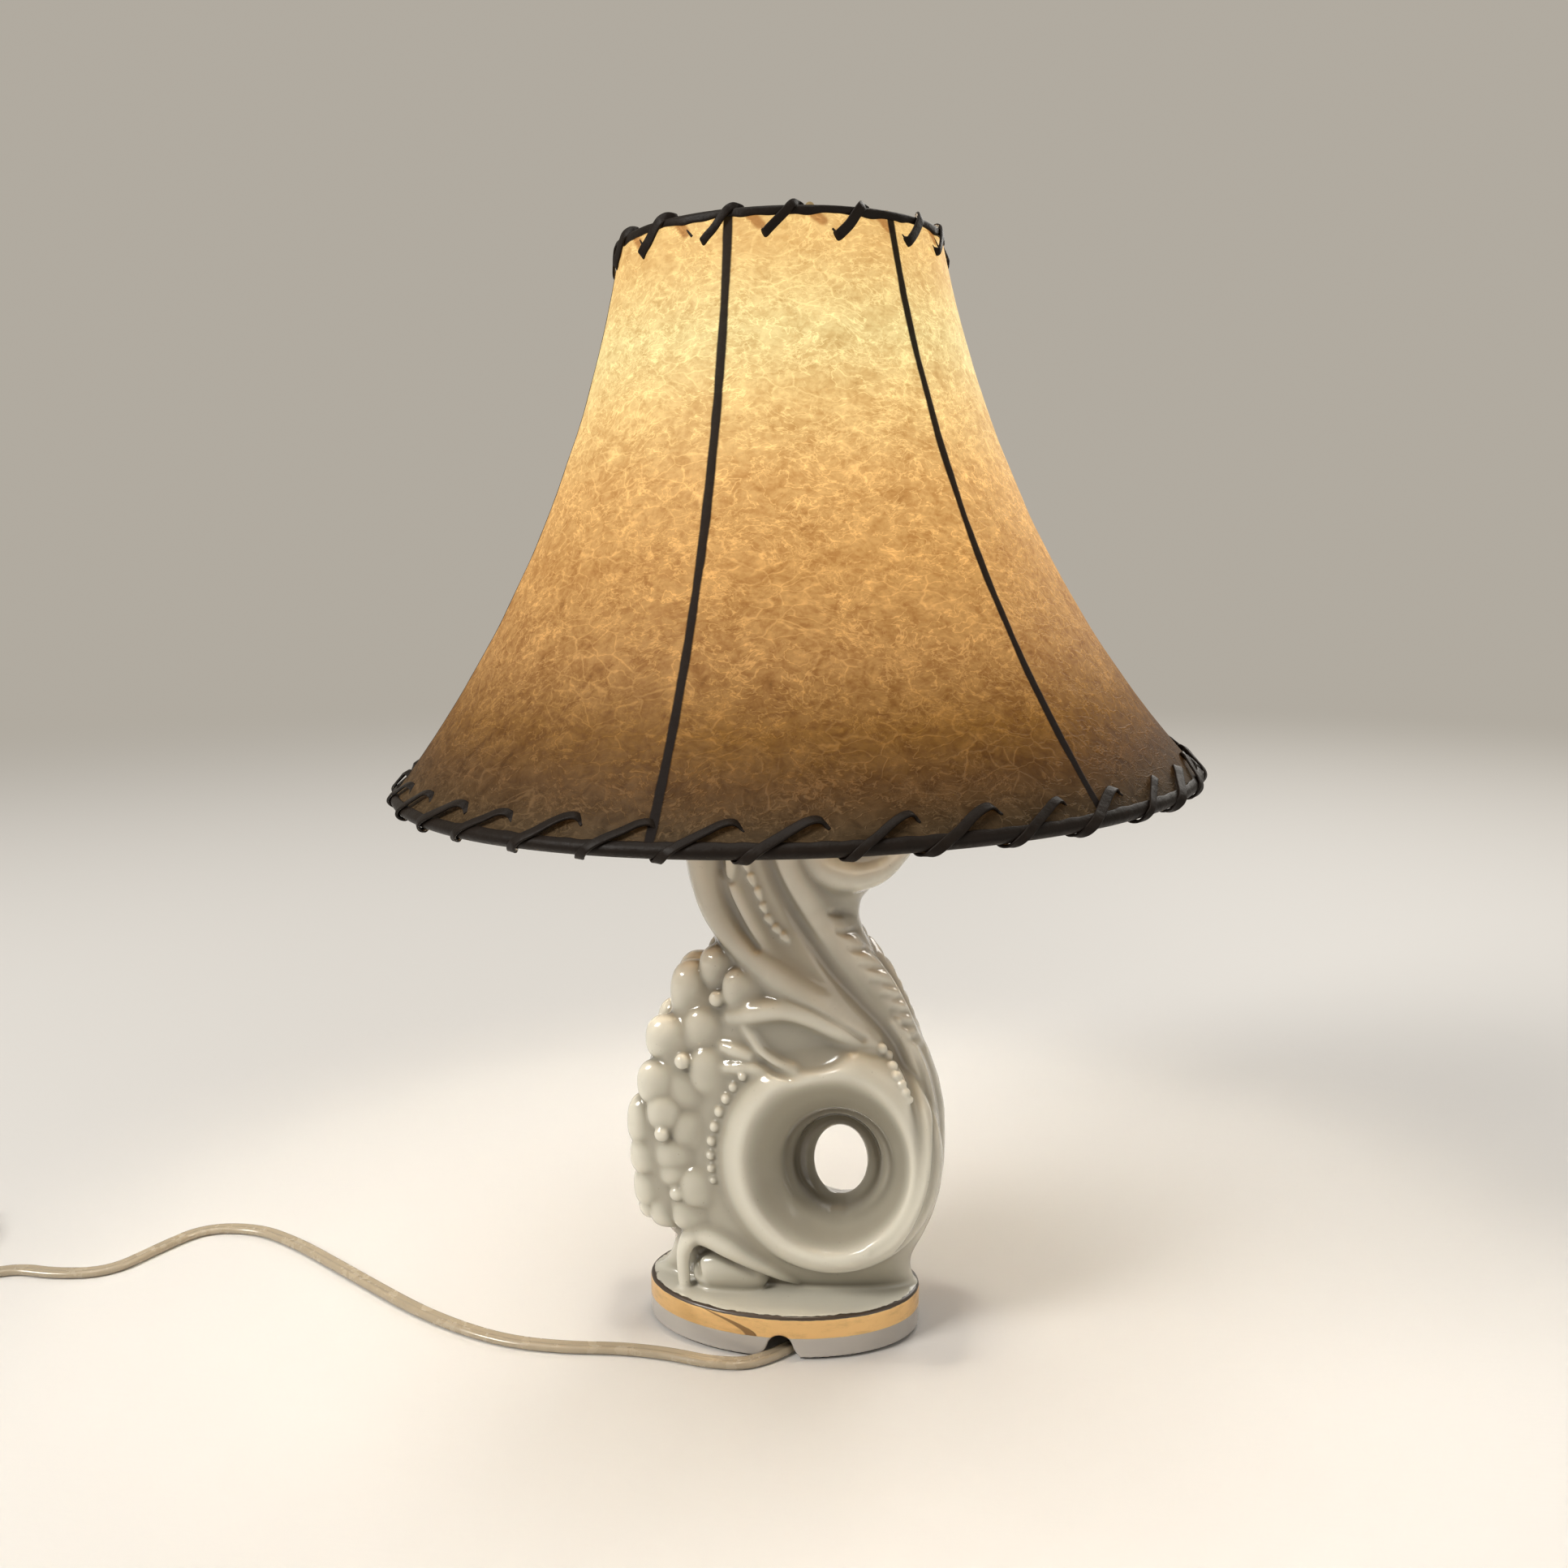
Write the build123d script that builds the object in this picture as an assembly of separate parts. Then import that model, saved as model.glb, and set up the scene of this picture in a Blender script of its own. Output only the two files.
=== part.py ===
"""Table lamp: a hollow ceramic scroll figure on an oval plinth, a brass socket with a bulb, and a
laced bell shade that clips onto the bulb.

Millimetres, +Z up.  The origin is the middle of the felt on the table, +X runs along the long side
of the oval plinth and the face with the cord notch looks along -Y.
"""
import math
import os

from build123d import *

# how far a cutting solid reaches past what it cuts
OVERCUT = 1.0

# ---------------------------------------------------------------- plinth and ceramic figure
FELT_THICKNESS = 1.0
FELT_INSET = 1.6
PLINTH_LENGTH = 95.0
PLINTH_DEPTH = 58.6
PLINTH_TOP = 15.5
PLINTH_EDGE_ROUND = 1.2
PLINTH_WALL = 5.0
PLINTH_DECK = 4.0
CERAMIC_WALL = 4.2
CERAMIC_TOP = 208.0
NOTCH_WIDTH = 13.5
NOTCH_ARCH_WIDTH = 8.4
NOTCH_HEIGHT = 7.6
NOTCH_OFFSET = 2.4

# height, left side, right side, half depth of the figure's plain mass
FIGURE_FOOT_SINK = 1.5
FIGURE_FOOT = (PLINTH_TOP - FIGURE_FOOT_SINK, -33.0, 40.0, 11.5)
FIGURE_SECTIONS = (
    (20.0, -34.0, 41.5, 14.5),
    (29.0, -39.0, 46.5, 19.0),
    (45.0, -45.0, 53.0, 22.0),
    (66.0, -47.0, 55.0, 23.0),
    (88.0, -44.5, 53.3, 22.5),
    (110.0, -37.0, 44.2, 21.0),
    (130.0, -25.5, 32.2, 18.5),
    (146.0, -25.0, 25.5, 17.0),
    (158.0, -31.5, 32.0, 18.5),
    (170.0, -34.5, 39.5, 20.5),
    (184.0, -31.0, 35.0, 20.0),
    (197.0, -20.0, 21.5, 16.5),
)
FIGURE_CROWN_HALF = (14.5, 13.5)

EYE_CENTRE = (19.8, 59.0)
EYE_HALF = (9.25, 12.7)
EYE_STEP_CENTRE = (19.4, 61.5)
EYE_STEP_HALF = (15.6, 17.6)
EYE_STEP_DEPTH = 10.0
EYE_NECK_DEPTH = 2.0
EYE_REACH = 30.0
DISH_CENTRE = (17.0, 65.0)
DISH_HALF = (25.5, 25.51)
ROLL_RADIUS = 31.0
ROLL_THICKNESS = 17.0
ROLL_CREST_DEPTH = 25.0

RIDGE_THICKNESS = 8.0
RIDGE_PROUD = 2.6
LEFT_RIDGE = ((-26.0, 168.0), (-21.0, 150.0), (-9.0, 136.0), (6.0, 124.5), (21.0, 114.0), (33.0, 107.0))
RIGHT_RIDGE = ((1.5, 170.0), (8.5, 148.0), (20.0, 134.0), (32.0, 121.0), (43.0, 104.0), (48.5, 86.0))

FLOWERS = ((-21.3, 118.0, 20.0), (-32.5, 97.2, 55.0), (-38.5, 72.0, 10.0), (-33.5, 50.5, 50.0))
PETALS = 5
PETAL_RADIUS = 6.6
PETAL_REACH = 9.0
FLOWER_BEAD_RADIUS = 3.0
FLOWER_SINK = 3.0

SCROLL_CENTRE = (-21.5, 28.5)
SCROLL_RADIUS = 8.5
SCROLL_THICKNESS = 8.5
SCROLL_CREST_DEPTH = 21.0

# ---------------------------------------------------------------- brass fittings and socket
NIPPLE_RADIUS = 5.0
NIPPLE_BORE_RADIUS = 3.6
NIPPLE_BELOW_DECK = 6.5
NIPPLE_IN_SOCKET = 9.0
NIPPLE_CLEARANCE = 0.4
WASHER_RADIUS = 9.0
WASHER_THICKNESS = 1.4
LOCK_NUT_ACROSS = 15.0
LOCK_NUT_THICKNESS = 3.0
VASE_CAP_RADIUS = 16.0
VASE_CAP_THICKNESS = 1.6
SOCKET_RADIUS = 16.6
SOCKET_WALL = 0.6
SOCKET_HUB_RADIUS = 8.0
SOCKET_HUB_HEIGHT = 7.0
SOCKET_CAP_HEIGHT = 19.0
SOCKET_SHELL_LAP = 4.0
SOCKET_SHELL_TOP_ABOVE_CONTACT = 24.5
LINER_GAP = 0.15
LINER_WALL = 0.7
SET_SCREW_RADIUS = 1.5
SET_SCREW_LENGTH = 4.0
BUSHING_WALL = 1.6
BUSHING_HEIGHT = 2.5
CORE_RADIUS = 13.6
CORE_HEIGHT = 17.0
CORE_BORE_START = 4.5
SCREW_SHELL_WALL = 0.5
CONTACT_TAB = (6.0, 3.4, 0.5)
CONTACT_TAB_GAP = 0.3
TERMINAL_RADIUS = 2.6
TERMINAL_THICKNESS = 2.0
TERMINAL_REACH = 8.4

KNOB_SHAFT_RADIUS = 1.9
KNOB_SHAFT_CLEARANCE = 0.06
KNOB_RADIUS = 6.5
KNOB_LENGTH = 11.0
KNOB_GAP = 0.4
KNOB_NECK_LENGTH = 4.0
KNOB_NECK_RADIUS = 4.55
KNOB_PADDLE_THICKNESS = 4.55
KNOB_PADDLE_ROUND = 2.6

# ---------------------------------------------------------------- bulb
BULB_CONTACT_HEIGHT = 246.0
BULB_GLOBE_RADIUS = 30.0
BULB_LENGTH = 108.0
BULB_BASE_RADIUS = 12.9
BULB_BASE_HEIGHT = 26.0
BULB_BASE_TAPER = 6.0
BULB_BASE_WALL = 0.5
BULB_BASE_CLEARANCE = 0.35
BULB_NECK_RADIUS = 14.2
BULB_NECK_SLOPE = (0.1, 1.0)
BULB_SHOULDER_ANGLE = 38.0
BULB_GLASS_WALL = 0.8
BULB_BUTTON_RADIUS = 4.6
BULB_BUTTON_HEIGHT = 2.0
BULB_BUTTON_TIP_RADIUS = 2.75
BULB_BUTTON_RIM = 1.0
STEM_RADIUS = 4.5
STEM_PRESS_RADIUS = 2.25
STEM_TIP_RADIUS = 1.5
STEM_HEIGHT = 24.0
STEM_PRESS_HEIGHT = 16.8
SUPPORT_FOOT_HEIGHT = 14.4
SUPPORT_WIRE_RADIUS = 0.4
FILAMENT_RADIUS = 0.6
FILAMENT_HALF_SPAN = 11.0
FILAMENT_DROP = 4.0

# ---------------------------------------------------------------- clip, shade and finial
SHADE_TILT = 1.7
SHADE_TILT_AZIMUTH = 7.6
CLIP_WIRE_RADIUS = 1.0
CLIP_GAP = 0.35
CLIP_SPREAD = 34.0
CLIP_SKIRT = 6.0
CLIP_BEND_BULGE = 0.15
CLIP_HUB_RADIUS = 8.0
CLIP_HUB_THICKNESS = 2.6
CLIP_POST_RADIUS = 3.1
CLIP_COLLAR_RADIUS = 6.0
SEAT_GAP = 0.3
RUNNING_CLEARANCE = 0.05
SHADE_RING_TOP_HEIGHT = 360.2
SHADE_RING_BOTTOM_HEIGHT = 193.2
SHADE_RING_TOP_RADIUS = 47.6
SHADE_RING_BOTTOM_RADIUS = 126.9
SHADE_CURVE_SAG = 11.0
RING_WIRE_RADIUS = 1.5
RIB_WIRE_RADIUS = 1.1
# the hand-bent frame's uprights stand a little unevenly
RIB_AZIMUTHS = (-9.2, 45.9, 106.9, 167.9, 228.9, 289.9)
SKIN_THICKNESS = 0.7
SKIN_STANDOFF = 0.1
SPIDER_ARMS = 3
SPIDER_FIRST_AZIMUTH = 17.6
SPIDER_WASHER_RADIUS = 9.0
SPIDER_WASHER_THICKNESS = 1.5
SPIDER_ARM_RADIUS = 1.3
BINDING_THICKNESS = 0.9
BINDING_GAP = 0.1
LACE_WIDTH = 2.6
LACE_THICKNESS = 0.8
LACE_SWEEP = 170.0
LACE_SLANT = 15.0
LACE_TURN = 12.0
LACES_BOTTOM = 36
LACES_TOP = 16
LACES_TOP_FIRST = 13.9
FINIAL_RADIUS = 5.5
FINIAL_HEIGHT = 7.4
FINIAL_WALL = 1.4
POST_END_GAP = 0.6

# ---------------------------------------------------------------- flat twin cord and plug
CORD_WIDTH = 5.3
CORD_THICKNESS = 2.7
CORD_FLOOR_GAP = 0.05
LEAD_WIRE_RADIUS = 1.15
LEAD_WIRE_SPACING = 2.66
# the lead's way up through the hollow, between the cord's first point and the socket's screws
LEAD_ROUTE = (
    (7.4, -15.0, 2.2), (3.4, -2.5, 7.5), (-1.5, -1.0, 24.0), (-8.0, 0.0, 44.0), (-10.5, 0.0, 80.0),
    (-7.0, 0.0, 125.0), (0.0, 0.0, 170.0),
)
LEAD_END_OFFSET = 0.2
# a bend's arc takes this share of the shorter run beside it
BEND_SHARE = 0.45
CORD_ROUTE = (
    (5.8, -22.0), (-3.6, -34.0), (-18.8, -35.8), (-34.0, -32.4), (-51.0, -31.4), (-70.0, -33.4),
    (-89.0, -32.6), (-107.0, -27.4), (-127.0, -18.4), (-149.0, -5.2), (-172.0, 9.2), (-194.0, 22.6),
    (-215.0, 31.6), (-236.0, 28.5), (-244.5, 11.5), (-252.5, -7.5), (-272.0, -11.5), (-289.0, -9.5),
    (-304.0, -20.0), (-319.0, -31.0), (-334.6, -40.0),
)
COIL_CENTRE = (-352.0, -10.0)
COIL_MIDDLE_RADIUS = 29.0
COIL_COLUMNS = 3
COIL_LAYERS = 3
COIL_COLUMN_PITCH = 5.7
COIL_LAYER_PITCH = 2.9
COIL_EDGE_ROUND = 1.2
TIE_RADIUS = 0.9
TIE_AZIMUTH = 60.0
TAIL_LENGTH = 24.0
PLUG_WIDTH = 24.0
PLUG_HEIGHT = 14.0
PLUG_LENGTH = 27.0
PLUG_ROUND = 4.0
PLUG_NECK_RADIUS = 4.6
PLUG_NECK_LENGTH = 6.0
BLADE_SPACING = 12.7
BLADE_WIDTH = 6.3
BLADE_THICKNESS = 1.5
BLADE_LENGTH = 17.0

# ---------------------------------------------------------------- places worked out from the sizes
CERAMIC_DECK = CERAMIC_TOP - CERAMIC_WALL
SOCKET_BOTTOM = CERAMIC_TOP + VASE_CAP_THICKNESS
SOCKET_CAP_TOP = SOCKET_BOTTOM + SOCKET_CAP_HEIGHT
SOCKET_SHELL_TOP = BULB_CONTACT_HEIGHT + SOCKET_SHELL_TOP_ABOVE_CONTACT
CORE_TOP = BULB_CONTACT_HEIGHT - CONTACT_TAB[2] - CONTACT_TAB_GAP
CORE_BOTTOM = CORE_TOP - CORE_HEIGHT
NIPPLE_TOP = SOCKET_BOTTOM + NIPPLE_IN_SOCKET
KNOB_AXIS_HEIGHT = CORE_BOTTOM + CORE_HEIGHT / 2
BULB_CENTRE_HEIGHT = BULB_CONTACT_HEIGHT + BULB_LENGTH - BULB_GLOBE_RADIUS
BULB_TOP = BULB_CONTACT_HEIGHT + BULB_LENGTH
STEM_BOTTOM = BULB_CONTACT_HEIGHT + BULB_BASE_HEIGHT - BULB_BASE_TAPER + BULB_GLASS_WALL
CORD_HEIGHT = CORD_FLOOR_GAP + CORD_THICKNESS / 2
BRACKET_LIFT = SHADE_RING_TOP_HEIGHT - SPIDER_WASHER_THICKNESS / 2

SHADE_FRAME = (
    Pos(0, 0, BULB_CENTRE_HEIGHT)
    * Rot(0, 0, SHADE_TILT_AZIMUTH)
    * Rot(0, -SHADE_TILT, 0)
    * Rot(0, 0, -SHADE_TILT_AZIMUTH)
    * Pos(0, 0, -BULB_CENTRE_HEIGHT)
)


def save(name, shape):
    """Write one node; several solids in a node go out as one compound."""
    solids = list(shape) if isinstance(shape, (list, tuple)) else [shape]
    body = solids[0] if len(solids) == 1 else Compound(children=solids)
    export_step(body, f"parts/{name}.step")


def disc(radius, bottom, top):
    """A round disc or rod on the lamp's axis between two heights."""
    return Pos(0, 0, bottom) * Cylinder(radius, top - bottom, align=(Align.CENTER, Align.CENTER, Align.MIN))


def tube(outer, inner, bottom, top):
    """A round tube on the lamp's axis between two heights."""
    return disc(outer, bottom, top) - disc(inner, bottom - OVERCUT, top + OVERCUT)


def turned(*points):
    """Spin a closed outline of (radius, height) points about the lamp's axis."""
    outline = make_face(Plane.XZ * Polyline(*points, close=True))
    return revolve(outline, Axis.Z)


def mirrored(shape):
    """The same relief on the back of the figure."""
    return mirror(shape, Plane.XZ)


# ---------------------------------------------------------------- ceramic
def figure_sections():
    """All sections of the plain mass, from inside the plinth to the crown."""
    crown = (CERAMIC_TOP, -FIGURE_CROWN_HALF[0], FIGURE_CROWN_HALF[0], FIGURE_CROWN_HALF[1])
    return (FIGURE_FOOT, *FIGURE_SECTIONS, crown)


def section_face(height, left, right, half_depth, inset=0.0):
    """One level ellipse of the figure, pulled in by a wall."""
    centre = Pos((left + right) / 2, 0, height)
    return centre * Ellipse((right - left) / 2 - inset, half_depth - inset)


def surface_depth(x, height):
    """How far the plain mass stands out from the middle plane at (x, height)."""
    sections = figure_sections()
    for low, high in zip(sections, sections[1:]):
        if low[0] <= height <= high[0]:
            share = (height - low[0]) / (high[0] - low[0])
            left, right, depth = (a + (b - a) * share for a, b in zip(low[1:], high[1:]))
            across = (x - (left + right) / 2) / ((right - left) / 2)
            return depth * math.sqrt(max(0.0, 1 - across * across))
    return 0.0


def oval_across(centre, half, depth, grow=0.0):
    """An upright ellipse in a plane at y = -depth."""
    plane = Plane(origin=(centre[0], -depth, centre[1]), x_dir=(1, 0, 0), z_dir=(0, -1, 0))
    return plane * Ellipse(max(half) + grow, min(half) + grow, rotation=90 if half[1] > half[0] else 0)


def dish_cut(grow=0.0):
    """The funnel on one face that leads from the rolled ring to the eye."""
    mouth = oval_across(DISH_CENTRE, DISH_HALF, ROLL_CREST_DEPTH + OVERCUT, grow)
    step = oval_across(EYE_STEP_CENTRE, EYE_STEP_HALF, EYE_STEP_DEPTH - grow, grow)
    neck = oval_across(EYE_CENTRE, EYE_HALF, EYE_NECK_DEPTH - min(grow, EYE_NECK_DEPTH), grow)
    return loft([mouth, step], ruled=True) + loft([step, neck], ruled=True)


def eye_cut(grow=0.0):
    """The oval hole right through the figure."""
    return extrude(oval_across(EYE_CENTRE, EYE_HALF, EYE_REACH, grow), -2 * EYE_REACH)


def flower(x, height, start):
    """Five round petals about a bead, on the front face."""
    depth = surface_depth(x, height) - FLOWER_SINK
    blobs = [Pos(x, -depth - FLOWER_SINK, height) * Sphere(FLOWER_BEAD_RADIUS)]
    for petal in range(PETALS):
        angle = math.radians(start + 360 * petal / PETALS)
        px = x + PETAL_REACH * math.cos(angle)
        pz = height + PETAL_REACH * math.sin(angle)
        depth = max(surface_depth(px, pz) - FLOWER_SINK, PETAL_RADIUS / 2)
        blobs.append(Pos(px, -depth, pz) * Sphere(PETAL_RADIUS))
    return blobs


def ridge(points):
    """A rounded ridge that runs over the front face."""
    radius = RIDGE_THICKNESS / 2
    path = Spline(*((x, -surface_depth(x, z) + radius - RIDGE_PROUD, z) for x, z in points))
    start = Plane(origin=path @ 0, z_dir=path % 0)
    ends = [Pos(*(path @ end)) * Sphere(radius) for end in (0, 1)]
    return [sweep(start * Circle(radius), path), *ends]


def rolled_ring(centre, radius, thickness, crest_depth):
    """A fat round roll that faces forward, such as the ring about the eye."""
    half = thickness / 2
    return Pos(centre[0], -crest_depth + half, centre[1]) * Rot(90, 0, 0) * Torus(radius, half)


def plinth(inset, bottom, top):
    """An oval block of the plinth's outline, pulled in by a wall."""
    outline = Ellipse(PLINTH_LENGTH / 2 - inset, PLINTH_DEPTH / 2 - inset)
    return extrude(Pos(0, 0, bottom) * outline, top - bottom)


def cord_notch(bottom):
    """The arched notch in the front wall that lets the cord out, cut up from a height."""
    low = NOTCH_WIDTH / 2
    high = NOTCH_ARCH_WIDTH / 2
    arch = FELT_THICKNESS + NOTCH_HEIGHT
    shoulder = arch - high
    left = Line((NOTCH_OFFSET - low, bottom), (NOTCH_OFFSET - high, shoulder))
    crown = ThreePointArc(left @ 1, (NOTCH_OFFSET, arch), (NOTCH_OFFSET + high, shoulder))
    right = Line(crown @ 1, (NOTCH_OFFSET + low, bottom))
    mouth = make_face(Plane.XZ * Curve([left, crown, right, Line(right @ 1, left @ 0)]))
    return Pos(0, -PLINTH_DEPTH / 2, 0) * extrude(mouth, PLINTH_DEPTH / 4, both=True)


def ceramic_body():
    """The glazed casting: plinth, figure, eye, relief and the hollow inside."""
    foot = plinth(0, FELT_THICKNESS, PLINTH_TOP)
    foot = fillet(foot.edges().group_by(Axis.Z)[-1], PLINTH_EDGE_ROUND)
    mass = loft([section_face(*section) for section in figure_sections()])
    front = [rolled_ring(DISH_CENTRE, ROLL_RADIUS, ROLL_THICKNESS, ROLL_CREST_DEPTH)]
    front.append(rolled_ring(SCROLL_CENTRE, SCROLL_RADIUS, SCROLL_THICKNESS, SCROLL_CREST_DEPTH))
    front += ridge(LEFT_RIDGE) + ridge(RIGHT_RIDGE)
    for bloom in FLOWERS:
        front += flower(*bloom)
    body = mass + foot
    for piece in front:
        body = body + piece + mirrored(piece)
    hollow = loft([section_face(*section, inset=CERAMIC_WALL) for section in hollow_sections()])
    for guard in (eye_cut(CERAMIC_WALL), dish_cut(CERAMIC_WALL), mirrored(dish_cut(CERAMIC_WALL))):
        hollow -= guard
    body -= hollow
    body -= plinth(PLINTH_WALL, FELT_THICKNESS, PLINTH_TOP - PLINTH_DECK)
    for cut in (dish_cut(), mirrored(dish_cut()), eye_cut(), cord_notch(0)):
        body -= cut
    return body - disc(NIPPLE_RADIUS + NIPPLE_CLEARANCE, CERAMIC_DECK - OVERCUT, CERAMIC_TOP + OVERCUT)


def hollow_sections():
    """The sections of the hollow, from the plinth's own hollow up to the crown's underside."""
    foot = (PLINTH_TOP - PLINTH_DECK - OVERCUT, *FIGURE_FOOT[1:])
    crown = (CERAMIC_DECK, -FIGURE_CROWN_HALF[0], FIGURE_CROWN_HALF[0], FIGURE_CROWN_HALF[1])
    return (foot, *FIGURE_SECTIONS, crown)


def felt_pad():
    """The felt glued under the plinth, cut away where the cord comes out."""
    slot_length = PLINTH_DEPTH / 2
    slot = Pos(NOTCH_OFFSET, -slot_length, 0) * Box(NOTCH_WIDTH, slot_length, 3 * FELT_THICKNESS)
    return plinth(FELT_INSET, 0, FELT_THICKNESS) - slot


# ---------------------------------------------------------------- fittings
def nipple():
    """The threaded tube that clamps the socket to the ceramic."""
    return tube(NIPPLE_RADIUS, NIPPLE_BORE_RADIUS, CERAMIC_DECK - NIPPLE_BELOW_DECK, NIPPLE_TOP)


def nipple_washer():
    """The steel washer under the crown."""
    return tube(WASHER_RADIUS, NIPPLE_RADIUS, CERAMIC_DECK - WASHER_THICKNESS, CERAMIC_DECK)


def nipple_lock_nut():
    """The hexagonal nut under the washer."""
    top = CERAMIC_DECK - WASHER_THICKNESS
    hexagon = RegularPolygon(LOCK_NUT_ACROSS / 2, 6, major_radius=False) - Circle(NIPPLE_RADIUS)
    return extrude(Pos(0, 0, top - LOCK_NUT_THICKNESS) * hexagon, LOCK_NUT_THICKNESS)


def vase_cap():
    """The brass disc between the ceramic's crown and the socket."""
    ring = tube(VASE_CAP_RADIUS, NIPPLE_RADIUS, CERAMIC_TOP, SOCKET_BOTTOM)
    return fillet(ring.edges().group_by(Axis.Z)[-1].sort_by(SortBy.RADIUS)[-1], VASE_CAP_THICKNESS / 2)


def socket_cap():
    """The socket's domed cap with its hub on the nipple."""
    shoulder = SOCKET_BOTTOM + SOCKET_HUB_HEIGHT
    inside = SOCKET_RADIUS - SOCKET_WALL
    outer = turned(
        (NIPPLE_RADIUS, SOCKET_BOTTOM), (SOCKET_HUB_RADIUS, SOCKET_BOTTOM), (SOCKET_HUB_RADIUS, shoulder),
        (SOCKET_RADIUS, SOCKET_CAP_TOP - SOCKET_SHELL_LAP), (SOCKET_RADIUS, SOCKET_CAP_TOP),
        (inside, SOCKET_CAP_TOP), (inside, SOCKET_CAP_TOP - SOCKET_SHELL_LAP),
        (SOCKET_HUB_RADIUS - SOCKET_WALL, shoulder + SOCKET_WALL), (NIPPLE_RADIUS, shoulder + SOCKET_WALL),
    )
    screw_height = SOCKET_BOTTOM + SOCKET_HUB_HEIGHT / 2
    return outer - Pos(0, 0, screw_height) * Rot(90, 0, 0) * Cylinder(
        SET_SCREW_RADIUS, SOCKET_HUB_RADIUS + OVERCUT, align=(Align.CENTER, Align.CENTER, Align.MIN))


def socket_set_screw():
    """The small screw that locks the cap on the nipple."""
    height = SOCKET_BOTTOM + SOCKET_HUB_HEIGHT / 2
    return Pos(0, -NIPPLE_RADIUS, height) * Rot(90, 0, 0) * Cylinder(
        SET_SCREW_RADIUS, SET_SCREW_LENGTH, align=(Align.CENTER, Align.CENTER, Align.MIN))


def cord_bushing():
    """The insulating sleeve on the nipple's upper end, which keeps the lead off the metal edge."""
    return tube(NIPPLE_RADIUS, NIPPLE_RADIUS - BUSHING_WALL, NIPPLE_TOP, NIPPLE_TOP + BUSHING_HEIGHT)


def socket_shell():
    """The socket's brass shell, pressed into the cap, with a hole for the switch shaft."""
    outer = SOCKET_RADIUS - SOCKET_WALL
    shell = tube(outer, outer - SOCKET_WALL, SOCKET_CAP_TOP - SOCKET_SHELL_LAP, SOCKET_SHELL_TOP)
    return shell - shaft_hole(SOCKET_RADIUS)


def socket_liner():
    """The cardboard tube that insulates the shell."""
    outer = SOCKET_RADIUS - 2 * SOCKET_WALL - LINER_GAP
    liner = tube(outer, outer - LINER_WALL, SOCKET_CAP_TOP - SOCKET_SHELL_LAP, SOCKET_SHELL_TOP - SOCKET_WALL)
    return liner - shaft_hole(SOCKET_RADIUS)


def shaft_hole(reach):
    """The bore that the switch shaft runs in."""
    bore = KNOB_SHAFT_RADIUS + KNOB_SHAFT_CLEARANCE
    return Pos(0, 0, KNOB_AXIS_HEIGHT) * Rot(0, 90, 0) * Cylinder(
        bore, reach + OVERCUT, align=(Align.CENTER, Align.CENTER, Align.MIN))


def socket_core():
    """The moulded switch body, which carries the screw shell and the contacts."""
    return disc(CORE_RADIUS, CORE_BOTTOM, CORE_TOP) - Pos(CORE_BORE_START, 0, 0) * shaft_hole(CORE_RADIUS)


def screw_shell():
    """The threaded brass shell that the bulb screws into."""
    inner = BULB_BASE_RADIUS + BULB_BASE_CLEARANCE
    return tube(inner + SCREW_SHELL_WALL, inner, CORE_TOP, SOCKET_SHELL_TOP - 2 * SOCKET_WALL)


def centre_contact():
    """The sprung tab under the bulb's button."""
    length, width, thickness = CONTACT_TAB
    return Pos(0, 0, CORE_TOP + thickness / 2) * Box(length, width, thickness)


def terminal_screws():
    """The two wire screws under the core."""
    return [Pos(side * TERMINAL_REACH, 0, CORE_BOTTOM - TERMINAL_THICKNESS / 2)
            * Cylinder(TERMINAL_RADIUS, TERMINAL_THICKNESS) for side in (-1, 1)]


def switch_shaft():
    """The shaft from the switch out through the shell."""
    start = CORE_BORE_START + SEAT_GAP
    length = SOCKET_RADIUS + KNOB_GAP + KNOB_NECK_LENGTH - start
    return Pos(start, 0, KNOB_AXIS_HEIGHT) * Rot(0, 90, 0) * Cylinder(
        KNOB_SHAFT_RADIUS, length, align=(Align.CENTER, Align.CENTER, Align.MIN))


def switch_knob():
    """The moulded knob: a round neck with a flat paddle for finger and thumb."""
    start = SOCKET_RADIUS + KNOB_GAP
    paddle_length = KNOB_LENGTH - KNOB_NECK_LENGTH
    neck = Pos(start, 0, KNOB_AXIS_HEIGHT) * Rot(0, 90, 0) * Cylinder(
        KNOB_NECK_RADIUS, KNOB_NECK_LENGTH, align=(Align.CENTER, Align.CENTER, Align.MIN))
    paddle = Pos(start + KNOB_NECK_LENGTH + paddle_length / 2, 0, KNOB_AXIS_HEIGHT) * Box(
        paddle_length, KNOB_PADDLE_THICKNESS, 2 * KNOB_RADIUS)
    paddle = fillet(paddle.edges().filter_by(Axis.Y), KNOB_PADDLE_ROUND)
    bore = Pos(start, 0, KNOB_AXIS_HEIGHT) * Rot(0, 90, 0) * Cylinder(
        KNOB_SHAFT_RADIUS, KNOB_NECK_LENGTH, align=(Align.CENTER, Align.CENTER, Align.MIN))
    return neck + paddle - bore


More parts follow.
